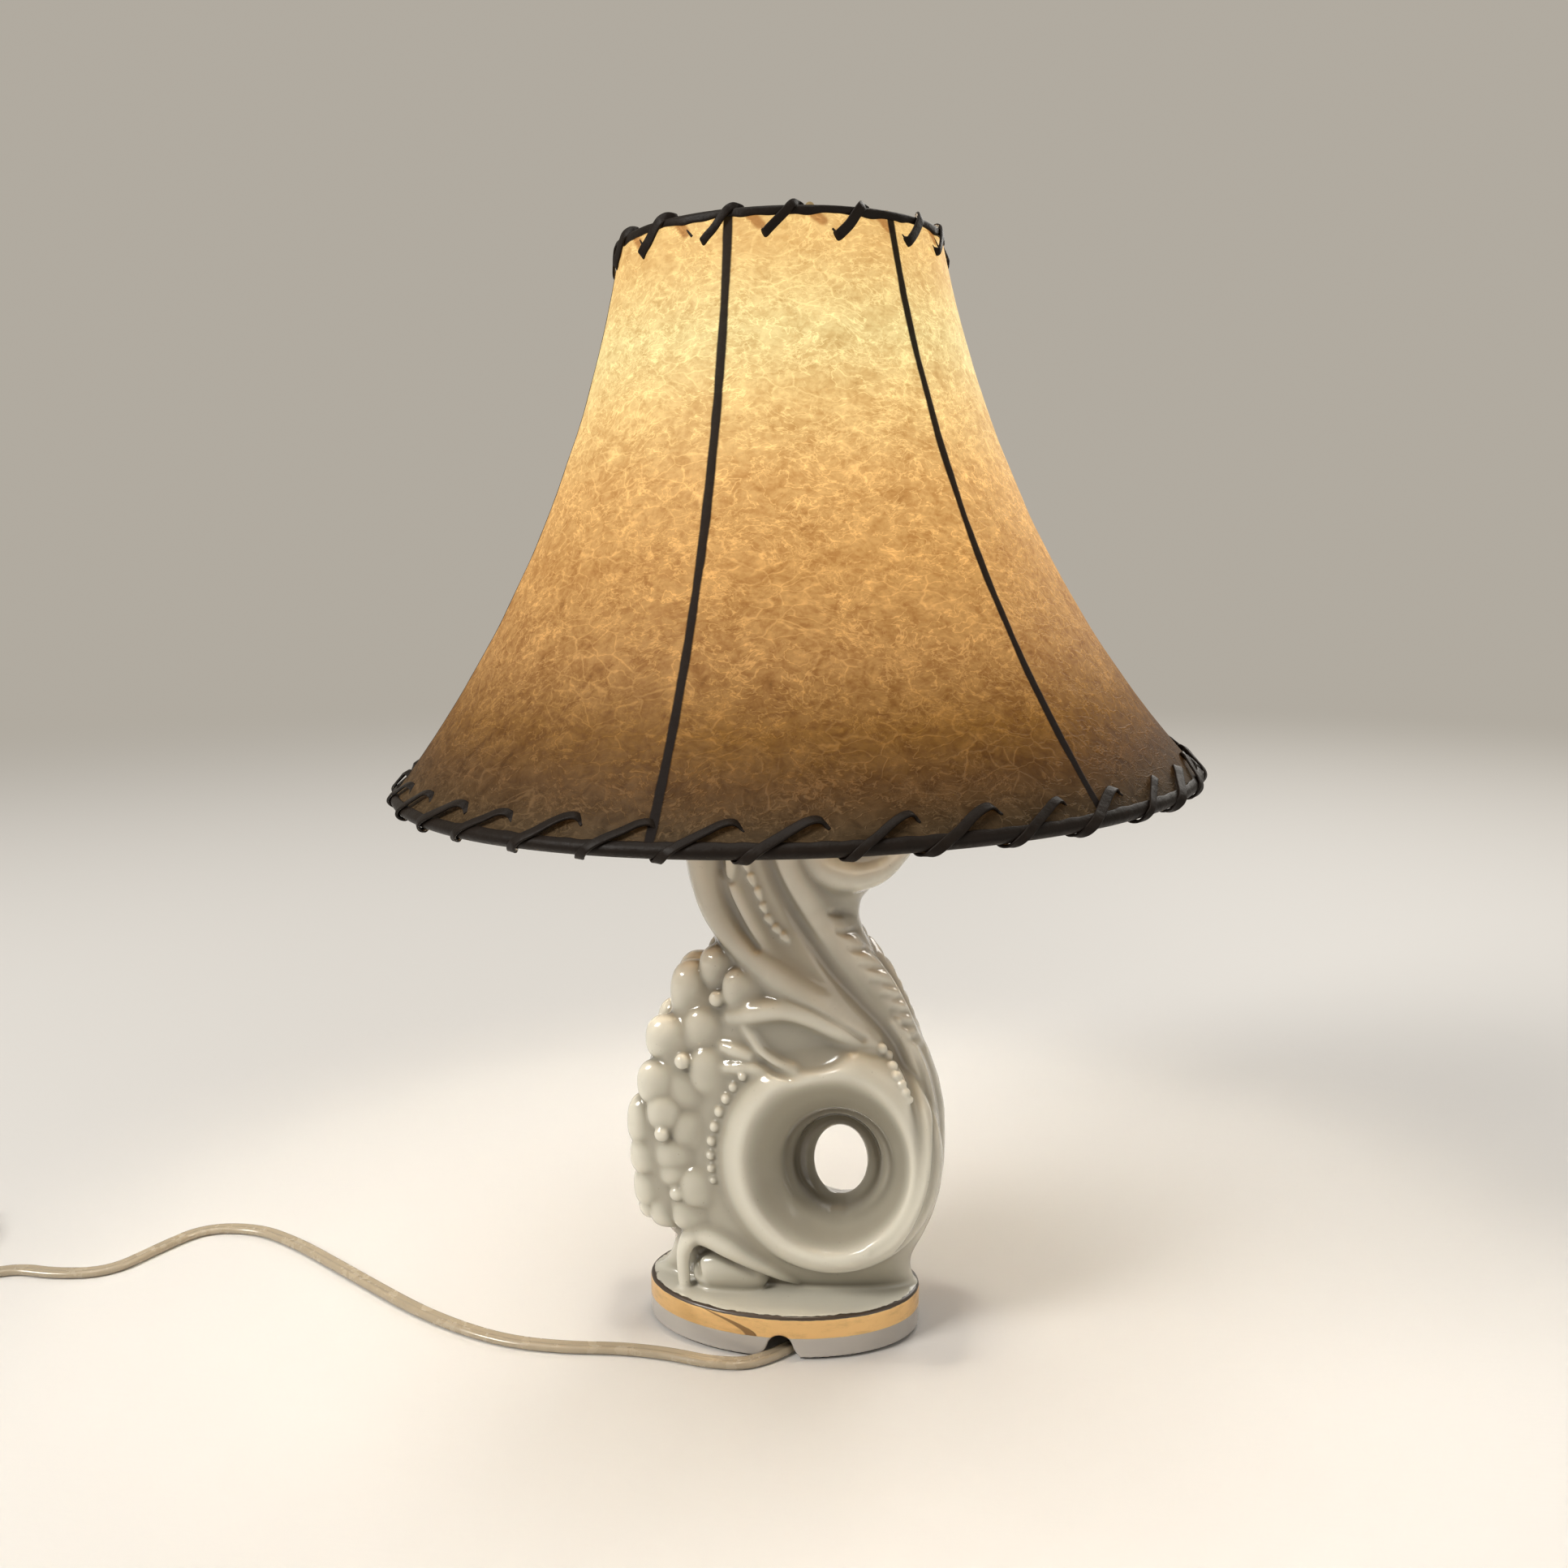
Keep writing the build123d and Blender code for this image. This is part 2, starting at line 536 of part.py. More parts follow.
# ---------------------------------------------------------------- bulb
def bulb_outline(inset):
    """The envelope's half outline, from the neck to the top of the globe."""
    globe = BULB_GLOBE_RADIUS - inset
    angle = math.radians(BULB_SHOULDER_ANGLE)
    neck_height = BULB_CONTACT_HEIGHT + BULB_BASE_HEIGHT
    start = (BULB_BASE_RADIUS - BULB_BASE_WALL - inset, neck_height - BULB_BASE_TAPER)
    collar = (BULB_NECK_RADIUS - inset, neck_height + BULB_BASE_TAPER)
    shoulder = (globe * math.cos(angle), BULB_CENTRE_HEIGHT - globe * math.sin(angle))
    low = Line(start, collar)
    rise = Spline(collar, shoulder, tangents=(BULB_NECK_SLOPE, (math.sin(angle), math.cos(angle))))
    middle = (globe * math.cos(angle / 2), BULB_CENTRE_HEIGHT + globe * math.sin(angle / 2))
    top = ThreePointArc(shoulder, middle, (0, BULB_CENTRE_HEIGHT + globe))
    axis = Line(top @ 1, (0, start[1]))
    close = Line(axis @ 1, start)
    return revolve(make_face(Plane.XZ * Curve([low, rise, top, axis, close])), Axis.Z)


def bulb_glass():
    """The blown envelope, closed at the neck by the flare of the stem."""
    floor = BULB_CONTACT_HEIGHT + BULB_BASE_HEIGHT - BULB_BASE_TAPER
    inside = bulb_outline(BULB_GLASS_WALL) - disc(BULB_GLOBE_RADIUS, floor - OVERCUT, floor + BULB_GLASS_WALL)
    return bulb_outline(0) - inside


def bulb_screw_base():
    """The lamp's metal screw base, with shallow rolled thread rings."""
    bottom = BULB_CONTACT_HEIGHT + BULB_BUTTON_HEIGHT
    top = BULB_CONTACT_HEIGHT + BULB_BASE_HEIGHT - BULB_BASE_TAPER
    outer = BULB_BASE_RADIUS
    inner = outer - BULB_BASE_WALL
    return turned(
        (BULB_BUTTON_RADIUS, bottom), (outer - BULB_BASE_TAPER / 2, bottom),
        (outer, bottom + BULB_BASE_TAPER / 2),
        (outer, top), (inner, top), (inner, bottom + BULB_BASE_TAPER / 2),
        (inner - BULB_BASE_TAPER / 2, bottom + BULB_BASE_WALL), (BULB_BUTTON_RADIUS, bottom + BULB_BASE_WALL),
    )


def bulb_insulator():
    """The dark glass insulator and the contact button under the base."""
    bottom = BULB_CONTACT_HEIGHT
    top = bottom + BULB_BUTTON_HEIGHT + BULB_BASE_WALL
    return turned((0, bottom), (BULB_BUTTON_TIP_RADIUS, bottom), (BULB_BUTTON_RADIUS, top - BULB_BUTTON_RIM),
                  (BULB_BUTTON_RADIUS, top), (0, top))


def bulb_stem():
    """The glass stem that carries the filament's wires."""
    top = STEM_BOTTOM + STEM_HEIGHT
    return turned((0, STEM_BOTTOM), (STEM_RADIUS, STEM_BOTTOM),
                  (STEM_PRESS_RADIUS, STEM_BOTTOM + STEM_PRESS_HEIGHT), (STEM_TIP_RADIUS, top), (0, top))


def filament_ends():
    """The two points between which the filament hangs."""
    return [Vector(side * FILAMENT_HALF_SPAN, 0, BULB_CENTRE_HEIGHT) for side in (-1, 1)]


def straight_wire(start, end, radius):
    """A straight round wire between two points."""
    way = Vector(*end) - Vector(*start)
    plane = Plane(origin=tuple(start), z_dir=tuple(way))
    return extrude(plane * Circle(radius), way.length)


def filament_supports():
    """The two wires from the stem up to the filament's ends."""
    foot = STEM_BOTTOM + SUPPORT_FOOT_HEIGHT
    return [straight_wire((math.copysign(STEM_PRESS_RADIUS, end.X), 0, foot), tuple(end), SUPPORT_WIRE_RADIUS)
            for end in filament_ends()]


def filament():
    """The coiled filament as a shallow V between the supports."""
    left, right = filament_ends()
    low = (0, 0, BULB_CENTRE_HEIGHT + FILAMENT_DROP)
    halves = [straight_wire(tuple(end), low, FILAMENT_RADIUS) for end in (left, right)]
    return halves[0] + halves[1] + Pos(*low) * Sphere(FILAMENT_RADIUS)


# ---------------------------------------------------------------- clip, finial
def clip_wires():
    """Two wire loops that hug the globe down to just below its widest part."""
    radius = BULB_GLOBE_RADIUS + CLIP_GAP + CLIP_WIRE_RADIUS
    half = radius / math.sqrt(2)
    side_arc = Plane.XZ * ThreePointArc((0, radius), (half, half), (radius, 0))
    side = sweep(Plane(origin=side_arc @ 0, z_dir=side_arc % 0) * Circle(CLIP_WIRE_RADIUS), side_arc)
    side += straight_wire((radius, 0, 0), (radius, 0, -CLIP_SKIRT), CLIP_WIRE_RADIUS)
    side += Pos(radius, 0, -CLIP_SKIRT) * Sphere(CLIP_WIRE_RADIUS + CLIP_BEND_BULGE)
    low = Pos(0, 0, -CLIP_SKIRT) * Rot(0, 0, -CLIP_SPREAD) * Torus(
        radius, CLIP_WIRE_RADIUS, major_angle=2 * CLIP_SPREAD, align=None)
    loop = low + Rot(0, 0, -CLIP_SPREAD) * side
    loop += Rot(0, 0, CLIP_SPREAD) * side
    crown = disc(CLIP_HUB_RADIUS, BULB_TOP + CLIP_GAP, BULB_TOP + CLIP_GAP + CLIP_HUB_THICKNESS)
    return [Pos(0, 0, BULB_CENTRE_HEIGHT) * Rot(0, 0, facing) * loop - crown for facing in (0, 180)]


def clip_hub():
    """The plate over the bulb with its threaded post and collar."""
    bottom = BULB_TOP + CLIP_GAP
    plate = disc(CLIP_HUB_RADIUS, bottom, bottom + CLIP_HUB_THICKNESS)
    collar = disc(CLIP_COLLAR_RADIUS, bottom, BRACKET_LIFT - SEAT_GAP)
    return plate + collar


def clip_post():
    """The threaded post on the plate."""
    finial_bottom = BRACKET_LIFT + SPIDER_WASHER_THICKNESS + SEAT_GAP
    top = finial_bottom + FINIAL_HEIGHT - FINIAL_WALL - POST_END_GAP
    return disc(CLIP_POST_RADIUS, BRACKET_LIFT - SEAT_GAP, top)


def finial():
    """The knurled nut that holds the shade down on the clip."""
    bottom = BRACKET_LIFT + SPIDER_WASHER_THICKNESS + SEAT_GAP
    nut = disc(FINIAL_RADIUS, bottom, bottom + FINIAL_HEIGHT)
    nut = fillet(nut.edges().group_by(Axis.Z)[-1], FINIAL_WALL)
    bore_top = bottom + FINIAL_HEIGHT - FINIAL_WALL
    return nut - disc(CLIP_POST_RADIUS + RUNNING_CLEARANCE, bottom - OVERCUT, bore_top)


# ---------------------------------------------------------------- shade
def skin_offset(out):
    """The shade's side curve as an arc, moved outward from the line through both rings."""
    top = Vector(SHADE_RING_TOP_RADIUS, SHADE_RING_TOP_HEIGHT)
    low = Vector(SHADE_RING_BOTTOM_RADIUS, SHADE_RING_BOTTOM_HEIGHT)
    chord = low - top
    normal = Vector(-chord.Y, chord.X).normalized()
    if normal.X < 0:
        normal = normal * -1
    middle = (top + low) * 0.5 - normal * SHADE_CURVE_SAG
    arc = ThreePointArc((top.X, top.Y), (middle.X, middle.Y), (low.X, low.Y))
    spans = [arc @ share for share in (0, 0.5, 1)]
    outs = [outward(arc, share) for share in (0, 0.5, 1)]
    return ThreePointArc(*(point + way * out for point, way in zip(spans, outs)))


def outward(arc, share):
    """The unit vector square to the side curve that points out of the shade."""
    along = arc % share
    way = Vector(-along.Y, along.X)
    return way if way.X > 0 else way * -1


def shade_skin():
    """The laced parchment skin, one turned bell."""
    inner = skin_offset(RING_WIRE_RADIUS + SKIN_STANDOFF)
    outer = skin_offset(RING_WIRE_RADIUS + SKIN_STANDOFF + SKIN_THICKNESS)
    band = Curve([inner, Line(inner @ 1, outer @ 1), outer, Line(outer @ 0, inner @ 0)])
    return revolve(make_face(Plane.XZ * band), Axis.Z)


def shade_ring_top():
    """The frame's small wire ring."""
    return Pos(0, 0, SHADE_RING_TOP_HEIGHT) * Torus(SHADE_RING_TOP_RADIUS, RING_WIRE_RADIUS)


def shade_ring_bottom():
    """The frame's large wire ring."""
    return Pos(0, 0, SHADE_RING_BOTTOM_HEIGHT) * Torus(SHADE_RING_BOTTOM_RADIUS, RING_WIRE_RADIUS)


def shade_ribs():
    """The upright wires, bent to the skin's curve and welded to both rings."""
    path = Plane.XZ * skin_offset(RING_WIRE_RADIUS - RIB_WIRE_RADIUS)
    rib = sweep(Plane(origin=path @ 0, z_dir=path % 0) * Circle(RIB_WIRE_RADIUS), path)
    return [Rot(0, 0, azimuth - 90) * rib for azimuth in RIB_AZIMUTHS]


def spider_rods(radius):
    """The straight rods from the washer out to the top ring."""
    inner = SPIDER_WASHER_RADIUS - SPIDER_ARM_RADIUS
    rods = []
    for n in range(SPIDER_ARMS):
        turn = Rot(0, 0, SPIDER_FIRST_AZIMUTH - 90 + 360 * n / SPIDER_ARMS)
        ends = [(reach, 0, SHADE_RING_TOP_HEIGHT) for reach in (inner, SHADE_RING_TOP_RADIUS)]
        rods.append(turn * straight_wire(*ends, radius))
    return rods


def spider_arms():
    """The rods that carry the washer in the middle of the top ring."""
    return spider_rods(SPIDER_ARM_RADIUS)


def spider_washer():
    """The washer that drops over the clip's post."""
    return tube(SPIDER_WASHER_RADIUS, CLIP_POST_RADIUS + RUNNING_CLEARANCE, BRACKET_LIFT,
                BRACKET_LIFT + SPIDER_WASHER_THICKNESS)


def rim_binding(ring, away):
    """The leather strip folded round a ring, open on the side where the skin comes in."""
    inner = RING_WIRE_RADIUS + SKIN_STANDOFF + SKIN_THICKNESS + BINDING_GAP
    strip = Circle(inner + BINDING_THICKNESS) - Circle(inner)
    reach = 2 * (inner + BINDING_THICKNESS)
    facing = math.degrees(math.atan2(away.Y, away.X))
    mouth = Rot(0, 0, facing) * Pos(reach / 2, 0) * Rectangle(reach, 2 * reach)
    return revolve(Plane.XZ * (Pos(*ring) * (strip - mouth)), Axis.Z)


def rim_binding_top():
    """The strip on the top ring, notched where the spider's arms come in."""
    curve = skin_offset(0)
    strip = rim_binding((SHADE_RING_TOP_RADIUS, SHADE_RING_TOP_HEIGHT), curve % 0)
    for arm in spider_rods(SPIDER_ARM_RADIUS + BINDING_GAP):
        strip -= arm
    return strip


def rim_binding_bottom():
    """The strip on the bottom ring."""
    curve = skin_offset(0)
    return rim_binding((SHADE_RING_BOTTOM_RADIUS, SHADE_RING_BOTTOM_HEIGHT), (curve % 1) * -1)


def lacing(ring, count, first, facing):
    """Short flat thongs wound slantwise over a bound rim."""
    bound = RING_WIRE_RADIUS + SKIN_STANDOFF + SKIN_THICKNESS + BINDING_GAP + BINDING_THICKNESS
    slant = math.radians(LACE_SLANT)
    inner = (bound + LACE_WIDTH / 2 * math.sin(slant)) / math.cos(slant) + BINDING_GAP
    strip = Pos(inner + LACE_THICKNESS / 2, 0) * Rectangle(LACE_THICKNESS, LACE_WIDTH)
    thong = Rot(0, 0, -LACE_SWEEP / 2) * revolve(Plane.XZ * strip, Axis.Z, LACE_SWEEP)
    laid = Pos(ring[0], 0, ring[1]) * Rot(LACE_SLANT, 0, 0) * Rot(90, 0, 0) * Rot(0, 0, facing) * thong
    return [Rot(0, 0, first + 360 * n / count) * laid for n in range(count)]


def lacing_top():
    """The thongs round the top rim."""
    return lacing((SHADE_RING_TOP_RADIUS, SHADE_RING_TOP_HEIGHT), LACES_TOP, LACES_TOP_FIRST, 90 - LACE_TURN)


def lacing_bottom():
    """The thongs round the bottom rim."""
    return lacing((SHADE_RING_BOTTOM_RADIUS, SHADE_RING_BOTTOM_HEIGHT), LACES_BOTTOM, 0, LACE_TURN - 90)


# ---------------------------------------------------------------- cord and plug
def arc_radii(points):
    """One radius for each inner point, so that its arc takes a share of the shorter run beside it."""
    radii = []
    for before, here, after in zip(points, points[1:], points[2:]):
        came = Vector(*here) - Vector(*before)
        goes = Vector(*after) - Vector(*here)
        half_turn = math.radians(came.get_angle(goes)) / 2
        radii.append(BEND_SHARE * min(came.length, goes.length) / math.tan(half_turn))
    return radii


def flat_section(path):
    """The flat twin section, square to the start of a level path."""
    plane = Plane(origin=path @ 0, x_dir=(path % 0).cross(Vector(0, 0, 1)), z_dir=path % 0)
    return plane * SlotOverall(CORD_WIDTH, CORD_THICKNESS)


def cord_run():
    """The laid stretch of cord, from the notch to the coil."""
    points = [(x, y, CORD_HEIGHT) for x, y in CORD_ROUTE]
    radii = arc_radii(points)
    path = FilletPolyline(*points, radius=radii)
    run = sweep(flat_section(path), path)
    area = CORD_THICKNESS * (CORD_WIDTH - CORD_THICKNESS) + math.pi * CORD_THICKNESS ** 2 / 4
    print("cord_run radii", [round(radius, 1) for radius in radii], "length", round(path.length, 1))
    print("cord_run volume", round(run.volume, 1), "section x length", round(area * path.length, 1))
    return run


def coil_half_width():
    """Half the width of the coil's bundle of turns."""
    return (COIL_COLUMNS - 1) / 2 * COIL_COLUMN_PITCH + CORD_WIDTH / 2


def coil_height():
    """The height of the coil's bundle of turns."""
    return (COIL_LAYERS - 1) * COIL_LAYER_PITCH + CORD_THICKNESS


def cord_coil():
    """The outer shape of the put-away turns."""
    outer = COIL_MIDDLE_RADIUS + coil_half_width()
    inner = COIL_MIDDLE_RADIUS - coil_half_width()
    ring = tube(outer, inner, CORD_FLOOR_GAP, CORD_FLOOR_GAP + coil_height())
    ring = fillet(ring.edges(), COIL_EDGE_ROUND)
    return Pos(*COIL_CENTRE, 0) * ring


def cord_tie():
    """The wire tie round the coil."""
    half = (coil_half_width() + SEAT_GAP + TIE_RADIUS, coil_height() / 2 + SEAT_GAP + TIE_RADIUS)
    outline = RectangleRounded(2 * half[0] + 2 * TIE_RADIUS, 2 * half[1], COIL_EDGE_ROUND + TIE_RADIUS)
    hole = RectangleRounded(2 * half[0] - 2 * TIE_RADIUS, 2 * half[1] - 2 * TIE_RADIUS, COIL_EDGE_ROUND)
    band = extrude(Plane.XZ * (outline - hole), TIE_RADIUS, both=True)
    return (Pos(*COIL_CENTRE, CORD_FLOOR_GAP + coil_height() / 2) * Rot(0, 0, TIE_AZIMUTH)
            * Pos(COIL_MIDDLE_RADIUS, 0, 0) * band)


def plug_frame():
    """Where the cord enters the plug, with +X towards the blades."""
    radius = COIL_MIDDLE_RADIUS + (COIL_COLUMNS - 1) / 2 * COIL_COLUMN_PITCH
    return Pos(COIL_CENTRE[0] - radius, COIL_CENTRE[1], PLUG_HEIGHT / 2) * Rot(0, 0, 90)


def cord_tail():
    """The short end of the cord between the coil and the plug."""
    tail = Pos(TAIL_LENGTH / 2, 0, 0) * Rot(0, 90, 0) * Rot(0, 0, 90)
    flat = extrude(SlotOverall(CORD_WIDTH, CORD_THICKNESS), TAIL_LENGTH / 2, both=True)
    return plug_frame() * tail * flat


def plug_body():
    """The moulded plug."""
    start = TAIL_LENGTH
    neck = Pos(start, 0, 0) * Rot(0, 90, 0) * Cylinder(
        PLUG_NECK_RADIUS, PLUG_NECK_LENGTH, align=(Align.CENTER, Align.CENTER, Align.MIN))
    block = Pos(start + PLUG_NECK_LENGTH + PLUG_LENGTH / 2, 0, 0) * Box(PLUG_LENGTH, PLUG_WIDTH, PLUG_HEIGHT)
    block = fillet(block.edges().filter_by(Axis.X), PLUG_ROUND)
    return plug_frame() * (neck + block)


def plug_blades():
    """The two flat blades."""
    start = TAIL_LENGTH + PLUG_NECK_LENGTH + PLUG_LENGTH
    return [plug_frame() * Pos(start + BLADE_LENGTH / 2, side * BLADE_SPACING / 2, 0)
            * Box(BLADE_LENGTH, BLADE_THICKNESS, BLADE_WIDTH) for side in (-1, 1)]


def inner_lead():
    """The two wires inside the lamp, from the notch up to the socket."""
    out = Vector(*CORD_ROUTE[1]) - Vector(*CORD_ROUTE[0])
    start = Vector(*CORD_ROUTE[0], CORD_HEIGHT)
    inward = (out * -1).normalized()
    side = Vector(-inward.Y, inward.X, 0) * (LEAD_WIRE_SPACING / 2)
    points = [tuple(start), *LEAD_ROUTE, (0, LEAD_END_OFFSET, CORE_BOTTOM - TERMINAL_THICKNESS)]
    radii = arc_radii(points)
    print("inner_lead radii", [round(radius, 1) for radius in radii])
    path = FilletPolyline(*points, radius=radii)
    wire = sweep(Plane(origin=path @ 0, z_dir=path % 0) * Circle(LEAD_WIRE_RADIUS), path)
    return [Pos(*(side * way)) * wire for way in (-1, 1)]


NODES = {
    "ceramic_body": ceramic_body,
    "felt_pad": felt_pad,
    "nipple": nipple,
    "nipple_washer": nipple_washer,
    "nipple_lock_nut": nipple_lock_nut,
    "vase_cap": vase_cap,
    "socket_cap": socket_cap,
    "socket_set_screw": socket_set_screw,
    "cord_bushing": cord_bushing,
    "socket_shell": socket_shell,
    "socket_liner": socket_liner,
    "socket_core": socket_core,
    "screw_shell": screw_shell,
    "centre_contact": centre_contact,
    "terminal_screws": terminal_screws,
    "inner_lead": inner_lead,
    "switch_shaft": switch_shaft,
    "switch_knob": switch_knob,
    "bulb_glass": bulb_glass,
    "bulb_screw_base": bulb_screw_base,
    "bulb_insulator": bulb_insulator,
    "bulb_stem": bulb_stem,
    "filament_supports": filament_supports,
    "filament": filament,
    "cord_run": cord_run,
    "cord_coil": cord_coil,
    "cord_tie": cord_tie,
    "cord_tail": cord_tail,
    "plug_body": plug_body,
    "plug_blades": plug_blades,
}

SHADE_NODES = {
    "clip_wires": clip_wires,
    "clip_hub": clip_hub,
    "clip_post": clip_post,
    "finial": finial,
    "shade_skin": shade_skin,
    "shade_ring_top": shade_ring_top,
    "shade_ring_bottom": shade_ring_bottom,
    "shade_ribs": shade_ribs,
    "spider_arms": spider_arms,
    "spider_washer": spider_washer,
    "rim_binding_top": rim_binding_top,
    "rim_binding_bottom": rim_binding_bottom,
    "lacing_top": lacing_top,
    "lacing_bottom": lacing_bottom,
}


def main():
    """Build and write every node."""
    os.makedirs("parts", exist_ok=True)
    for name, make in NODES.items():
        save(name, make())
    for name, make in SHADE_NODES.items():
        made = make()
        pieces = made if isinstance(made, list) else [made]
        save(name, [SHADE_FRAME * piece for piece in pieces])


main()
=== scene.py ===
"""Table lamp dressed for rendering.

A glazed ceramic scroll figure on an oval plinth carries a brass socket, a frosted globe bulb and a laced
parchment bell shade. Lengths in the classes are millimetres and turn into metres when a mesh is made.
"""
import logging
import math
from dataclasses import dataclass
from enum import Enum
from typing import Any, Callable, Iterable, Sequence

import bpy
import numpy as np
from mathutils import Matrix, Vector


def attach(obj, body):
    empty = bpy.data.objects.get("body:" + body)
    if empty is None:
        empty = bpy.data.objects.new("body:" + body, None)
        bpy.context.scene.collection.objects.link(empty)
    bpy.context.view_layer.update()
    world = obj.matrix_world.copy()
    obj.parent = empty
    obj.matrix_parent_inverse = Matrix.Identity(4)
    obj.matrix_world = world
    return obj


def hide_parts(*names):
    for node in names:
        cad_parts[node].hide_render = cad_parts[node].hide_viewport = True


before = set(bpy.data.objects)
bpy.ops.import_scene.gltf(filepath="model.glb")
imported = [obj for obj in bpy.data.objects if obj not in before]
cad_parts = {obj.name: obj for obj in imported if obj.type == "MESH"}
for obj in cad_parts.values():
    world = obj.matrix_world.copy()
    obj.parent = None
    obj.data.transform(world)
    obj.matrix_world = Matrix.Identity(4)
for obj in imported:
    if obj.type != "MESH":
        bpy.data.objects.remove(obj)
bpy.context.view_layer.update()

LOG = logging.getLogger("lamp")
MM = 0.001
PER_MM = 1 / MM
FULL_TURN = 2 * math.pi
FAR_AWAY = 9.0
EGG_REACH = 4.0
TUBE_REACH = 5.0
SHADE_LEAN = math.radians(1.7)
SHADE_LEAN_AZIMUTH = math.radians(7.6)
GLOBE_CENTRE = (0.0, 0.0, 324.0)
RIB_AZIMUTHS = tuple(math.radians(a - 90.0) for a in (-9.2, 45.9, 106.9, 167.9, 228.9, 289.9))

Colour = tuple[float, float, float]
Point2 = tuple[float, float]
Point3 = tuple[float, float, float]
Array = np.ndarray


class Body(Enum):
    """The moving bodies that carry pieces made here."""

    BASE = "base"
    SHADE = "shade"


def lean_matrix() -> Matrix:
    """Work out how the shade leans on the globe.

    Returns:
        The turn from its upright frame to where it sits, in metres.
    """
    centre = Vector(GLOBE_CENTRE) * MM
    turn = Matrix.Rotation(SHADE_LEAN_AZIMUTH, 4, "Z")
    tip = Matrix.Rotation(-SHADE_LEAN, 4, "Y")
    return Matrix.Translation(centre) @ turn @ tip @ turn.inverted() @ Matrix.Translation(-centre)


# ---- mesh tools
def unit(vectors: Array) -> Array:
    """Scale every row to length one."""
    return vectors / np.maximum(np.linalg.norm(vectors, axis=-1, keepdims=True), 1e-9)


def catmull(points: Sequence[Sequence[float]], steps: int, closed: bool = False) -> Array:
    """Put a smooth line through points.

    Args:
        points: What the line passes through.
        steps: How many pieces each gap is divided into.
        closed: Whether the line returns to its first point.

    Returns:
        The points of the line, one row each.
    """
    p = np.asarray(points, float)
    if closed:
        p = np.vstack((p[-1], p, p[0], p[1]))
    else:
        p = np.vstack((2 * p[0] - p[1], p, 2 * p[-1] - p[-2]))
    t = np.linspace(0, 1, steps, endpoint=False)[:, None]
    rows = []
    for a, b, c, d in zip(p, p[1:], p[2:], p[3:]):
        rows.append(0.5 * (2 * b + (c - a) * t + (2 * a - 5 * b + 4 * c - d) * t**2
                           + (3 * b - a - 3 * c + d) * t**3))
    line = np.vstack(rows)
    return line if closed else np.vstack((line, p[-2]))


def grid_quads(rows: int, columns: int, wrap_rows: bool, wrap_columns: bool) -> Array:
    """Join a grid of vertices with quads.

    Args:
        rows: Rings along the piece.
        columns: Points round each ring.
        wrap_rows: Whether the last ring joins the first.
        wrap_columns: Whether each ring is closed.

    Returns:
        Four vertex numbers per face.
    """
    i = np.arange(rows if wrap_rows else rows - 1)[:, None]
    j = np.arange(columns if wrap_columns else columns - 1)[None, :]
    i2, j2 = (i + 1) % rows, (j + 1) % columns
    corners = [a * columns + b for a, b in ((i, j), (i, j2), (i2, j2), (i2, j))]
    return np.stack([np.broadcast_to(c, (i.size, j.size)) for c in corners], -1).reshape(-1, 4)


def oval(x: Array, y: Array, half: Point2) -> tuple[Array, Array]:
    """Measure points against an oval about the origin.

    Args:
        x: Their places along its first axis.
        y: Their places along its second.
        half: The oval's half sizes.

    Returns:
        How far out each lies, with 1 on the oval, and about how far it is from the oval, negative inside.
    """
    a, b = half
    out = np.sqrt((x / a)**2 + (y / b)**2)
    return out, (out - 1) * out / np.maximum(np.sqrt((x / a**2)**2 + (y / b**2)**2), 1e-6)


def piece(name: str, vertices: Array, quads: Array, ends: Iterable[Sequence[int]] = ()) -> bpy.types.Object:
    """Make a smooth-shaded object from millimetre vertices.

    Args:
        name: The piece's name.
        vertices: One row per vertex, in millimetres.
        quads: Four vertex numbers per face.
        ends: Extra faces with more corners, such as caps.

    Returns:
        The linked object.
    """
    mesh = bpy.data.meshes.new(name)
    ends = [list(end) for end in ends]
    if ends:
        mesh.from_pydata((vertices * MM).tolist(), [], quads.tolist() + ends)
    else:
        mesh.vertices.add(len(vertices))
        mesh.vertices.foreach_set("co", (vertices * MM).astype(np.float32).ravel())
        mesh.loops.add(quads.size)
        mesh.loops.foreach_set("vertex_index", quads.astype(np.int32).ravel())
        mesh.polygons.add(len(quads))
        mesh.polygons.foreach_set("loop_start", np.arange(0, quads.size, 4, dtype=np.int32))
    mesh.update(calc_edges=True)
    mesh.validate()
    mesh.polygons.foreach_set("use_smooth", np.ones(len(mesh.polygons), bool))
    thing = bpy.data.objects.new(name, mesh)
    bpy.context.scene.collection.objects.link(thing)
    return thing


def mark(thing: bpy.types.Object, name: str, values: Array) -> None:
    """Write a number on each vertex of a piece, for its material to read."""
    numbers = thing.data.attributes.new(name, "FLOAT", "POINT")
    numbers.data.foreach_set("value", values.astype(np.float32).ravel())


